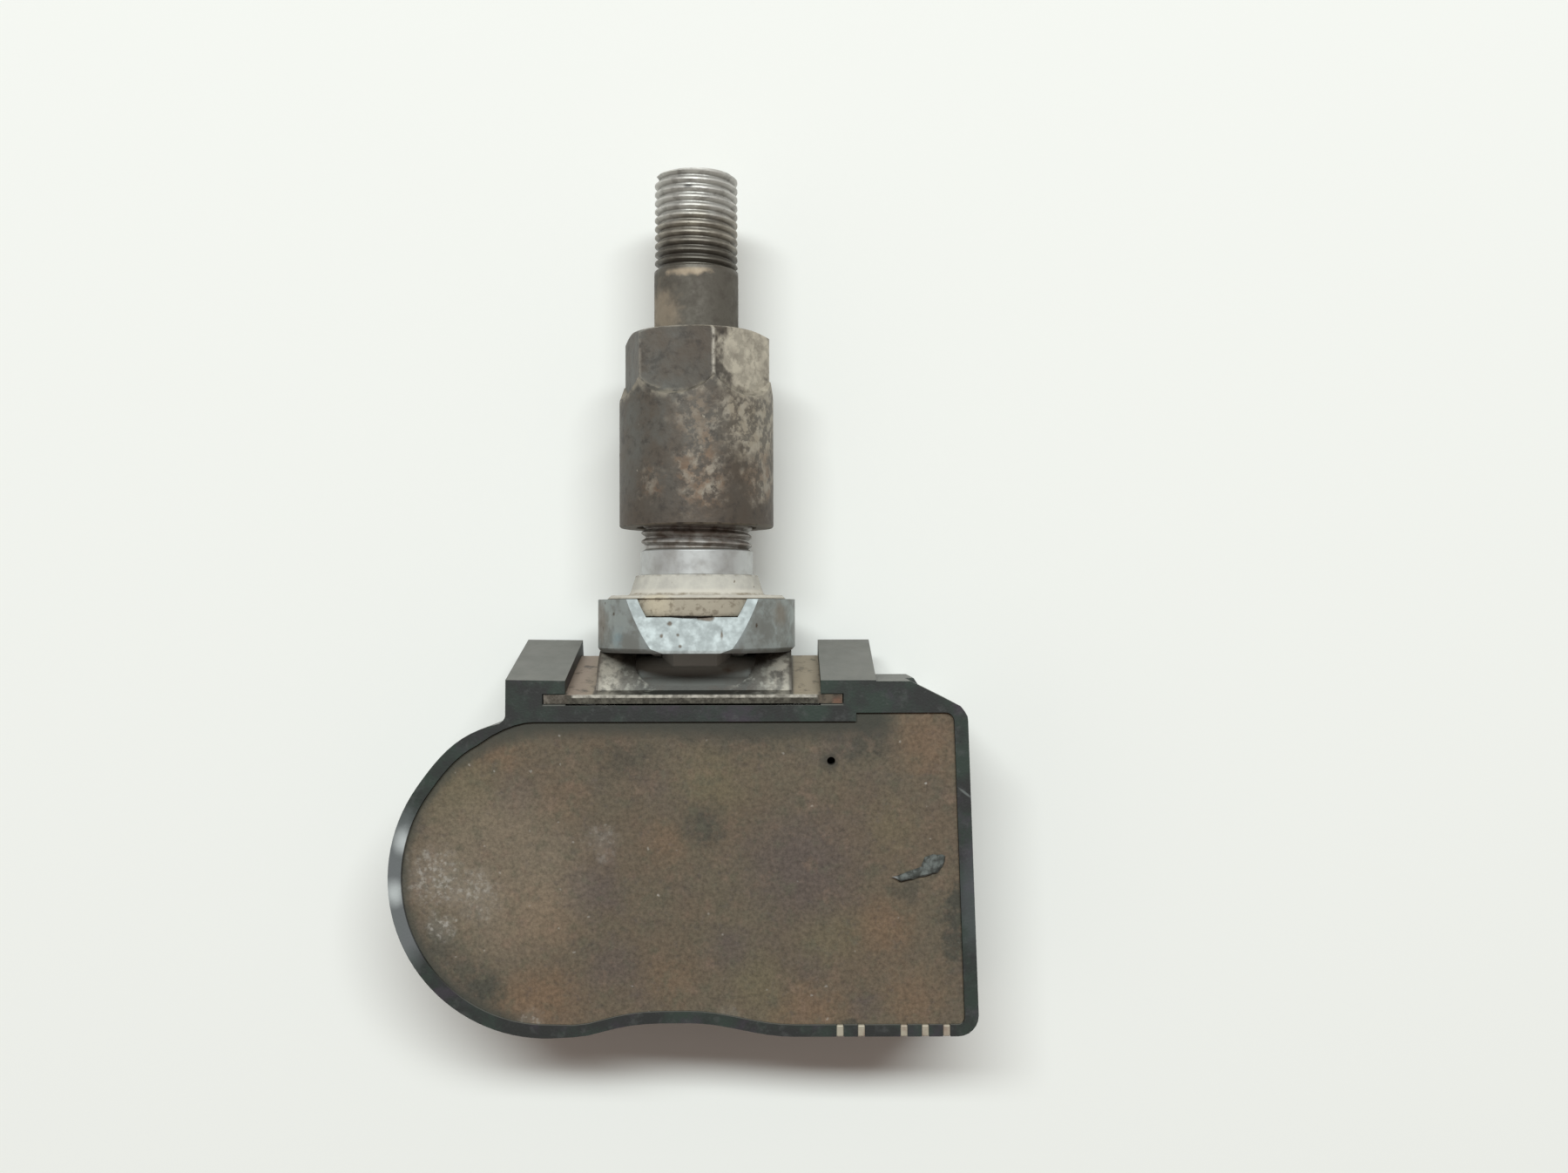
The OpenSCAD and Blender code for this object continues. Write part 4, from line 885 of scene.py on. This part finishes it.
def makeFlake(v, material):
    bm = bmesh.new()
    base = resinHigh.z - 0.02 * mm
    outline = [bm.verts.new((x * mm, y * mm, base)) for x, y in v["outline"]]
    face = bm.faces.new(outline)
    raised = bmesh.ops.extrude_face_region(bm, geom=[face])
    bmesh.ops.translate(bm, verts=[item for item in raised["geom"] if isinstance(item, bmesh.types.BMVert)],
                        vec=(0, 0, v["thickness"] * mm))
    top = [item for item in raised["geom"] if isinstance(item, bmesh.types.BMFace)]
    bmesh.ops.inset_region(bm, faces=top, thickness=0.2 * mm, depth=v["ridge"] * mm)
    bmesh.ops.triangulate(bm, faces=bm.faces)
    bmesh.ops.subdivide_edges(bm, edges=bm.edges, cuts=2, use_grid_fill=True)
    for vert in bm.verts:
        if vert.co.z > resinHigh.z:
            vert.co += noise.noise_vector(vert.co / mm * 2.3) * 0.12 * mm
    bmesh.ops.recalc_face_normals(bm, faces=bm.faces)
    linked("dirtFlake", bm, "sensor", material, (), 60)


# the round end bulges a little where it runs into the left lug
bulge = {"centre": (-12.8, -27.67), "angle": 119.0, "spread": 26.0, "out": 0.4, "start": 11.2, "full": 12.4}


def swellRound(bm, v):
    for vert in bm.verts:
        x, y = vert.co.x / mm - v["centre"][0], vert.co.y / mm - v["centre"][1]
        far = math.hypot(x, y)
        turn = abs(math.degrees(math.atan2(y, x)) - v["angle"]) / v["spread"]
        if far > v["start"] and turn < 1:
            share = min(1, (far - v["start"]) / (v["full"] - v["start"]))
            push = v["out"] * share * (1 + math.cos(math.pi * turn)) / 2 * mm / far
            vert.co.x += x * push
            vert.co.y += y * push


def makeSoftened(pieceName, node, body, material, widthMm, segments=2, angle=32):
    bm = mergedCopy(node)
    if node in ("housing", "potting"):
        swellRound(bm, bulge)
    piece = linked(pieceName, bm, body, material, (node,), 30)
    roundEdges(piece, widthMm, segments, angle)
    return piece


print("building pieces")
zinc, plastic, resin = zincMaterial(), housingMaterial(), resinMaterial()
makeStem(stemShape, stemMaterial())
makeGrommet(grommetShape, rubberMaterial())
makeNut(nutShape, nutMaterial(nutShape))
makeSoftened("collarRing", "collar", "stem", zinc, 0.14)
makeSoftened("saddleSheet", "bracket", "sensor", bracketMaterial(), 0.12)
makeSoftened("crossBolt", "pivot_bolt", "stem", boltMaterial(), 0.12)
makeSoftened("housingShell", "housing", "sensor", plastic, 0.3, 3)
makeSoftened("resinFill", "potting", "sensor", resin, 0.05)
makeFlake(flakeShape, flakeMaterial())
print("materials on the inner pieces")
tin = plainMaterial("tinnedStrip", (0.46, 0.43, 0.34, 1), (0.34, 0.27, 0.215, 1), 0.5, 0.3, 0.5)
for index in range(1, 6):
    makeSoftened("contactStrip%d" % index, "contact_%d" % index, "sensor", tin, 0.13, 3)
innerFinish = {
    "core_body": ("plainBrass", (0.5, 0.36, 0.13, 1), (0.3, 0.2, 0.07, 1), 0.35, 0.9),
    "core_pin": ("pinBrass", (0.55, 0.42, 0.18, 1), (0.35, 0.25, 0.1, 1), 0.3, 0.9),
    "core_seal": ("blackRubber", (0.02, 0.02, 0.02, 1), (0.035, 0.033, 0.03, 1), 0.7, 0.0),
    "core_spring": ("springWire", (0.5, 0.5, 0.5, 1), (0.35, 0.35, 0.34, 1), 0.3, 1.0),
    "battery_can": ("cellCan", (0.6, 0.6, 0.58, 1), (0.5, 0.5, 0.49, 1), 0.28, 1.0),
    "battery_cap": ("cellCap", (0.58, 0.58, 0.57, 1), (0.48, 0.48, 0.47, 1), 0.3, 1.0),
    "battery_gasket": ("cellGasket", (0.03, 0.03, 0.03, 1), (0.05, 0.05, 0.05, 1), 0.6, 0.0),
    "tab_positive": ("nickelStrip", (0.56, 0.54, 0.49, 1), (0.45, 0.43, 0.39, 1), 0.35, 1.0),
    "tab_negative": ("nickelStripLow", (0.56, 0.54, 0.49, 1), (0.45, 0.43, 0.39, 1), 0.35, 1.0),
    "circuit_board": ("greenLaminate", (0.02, 0.14, 0.06, 1), (0.03, 0.18, 0.08, 1), 0.4, 0.0),
    "sensor_chip": ("chipPackage", (0.02, 0.02, 0.02, 1), (0.03, 0.03, 0.03, 1), 0.4, 0.0),
    "port_seal": ("portRubber", (0.03, 0.028, 0.025, 1), (0.05, 0.045, 0.04, 1), 0.7, 0.0),
    "coil_core": ("ferrite", (0.04, 0.04, 0.045, 1), (0.06, 0.06, 0.06, 1), 0.45, 0.0),
    "coil_winding": ("copperWire", (0.5, 0.2, 0.08, 1), (0.4, 0.15, 0.05, 1), 0.35, 0.8),
    "crystal": ("crystalCan", (0.6, 0.6, 0.58, 1), (0.5, 0.5, 0.48, 1), 0.3, 1.0),
    "capacitors": ("tanCeramic", (0.35, 0.26, 0.17, 1), (0.28, 0.2, 0.13, 1), 0.5, 0.0),
    "rf_antenna": ("antennaStrip", (0.56, 0.52, 0.4, 1), (0.45, 0.4, 0.3, 1), 0.35, 1.0),
}
for node, finish in innerFinish.items():
    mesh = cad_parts[node].data
    mesh.materials.clear()
    mesh.materials.append(plainMaterial(*finish))


def makeFloor(v):
    bm = bmesh.new()
    bmesh.ops.create_grid(bm, x_segments=1, y_segments=1, size=v["size"] / 2)
    bmesh.ops.translate(bm, verts=bm.verts, vec=(0, 0, housingLow.z))
    mesh = bpy.data.meshes.new("floor")
    bm.to_mesh(mesh)
    bm.free()
    mesh.materials.append(floorMaterial(v))
    floor = bpy.data.objects.new("floor", mesh)
    bpy.context.scene.collection.objects.link(floor)


makeFloor(floorValues)
makeCamera(cameraValues)
makeWorld(lightValues)
for lampName in ("key", "fill"):
    makeLamp(lampName, lightValues[lampName])
bpy.context.scene.view_settings.view_transform = "Standard"
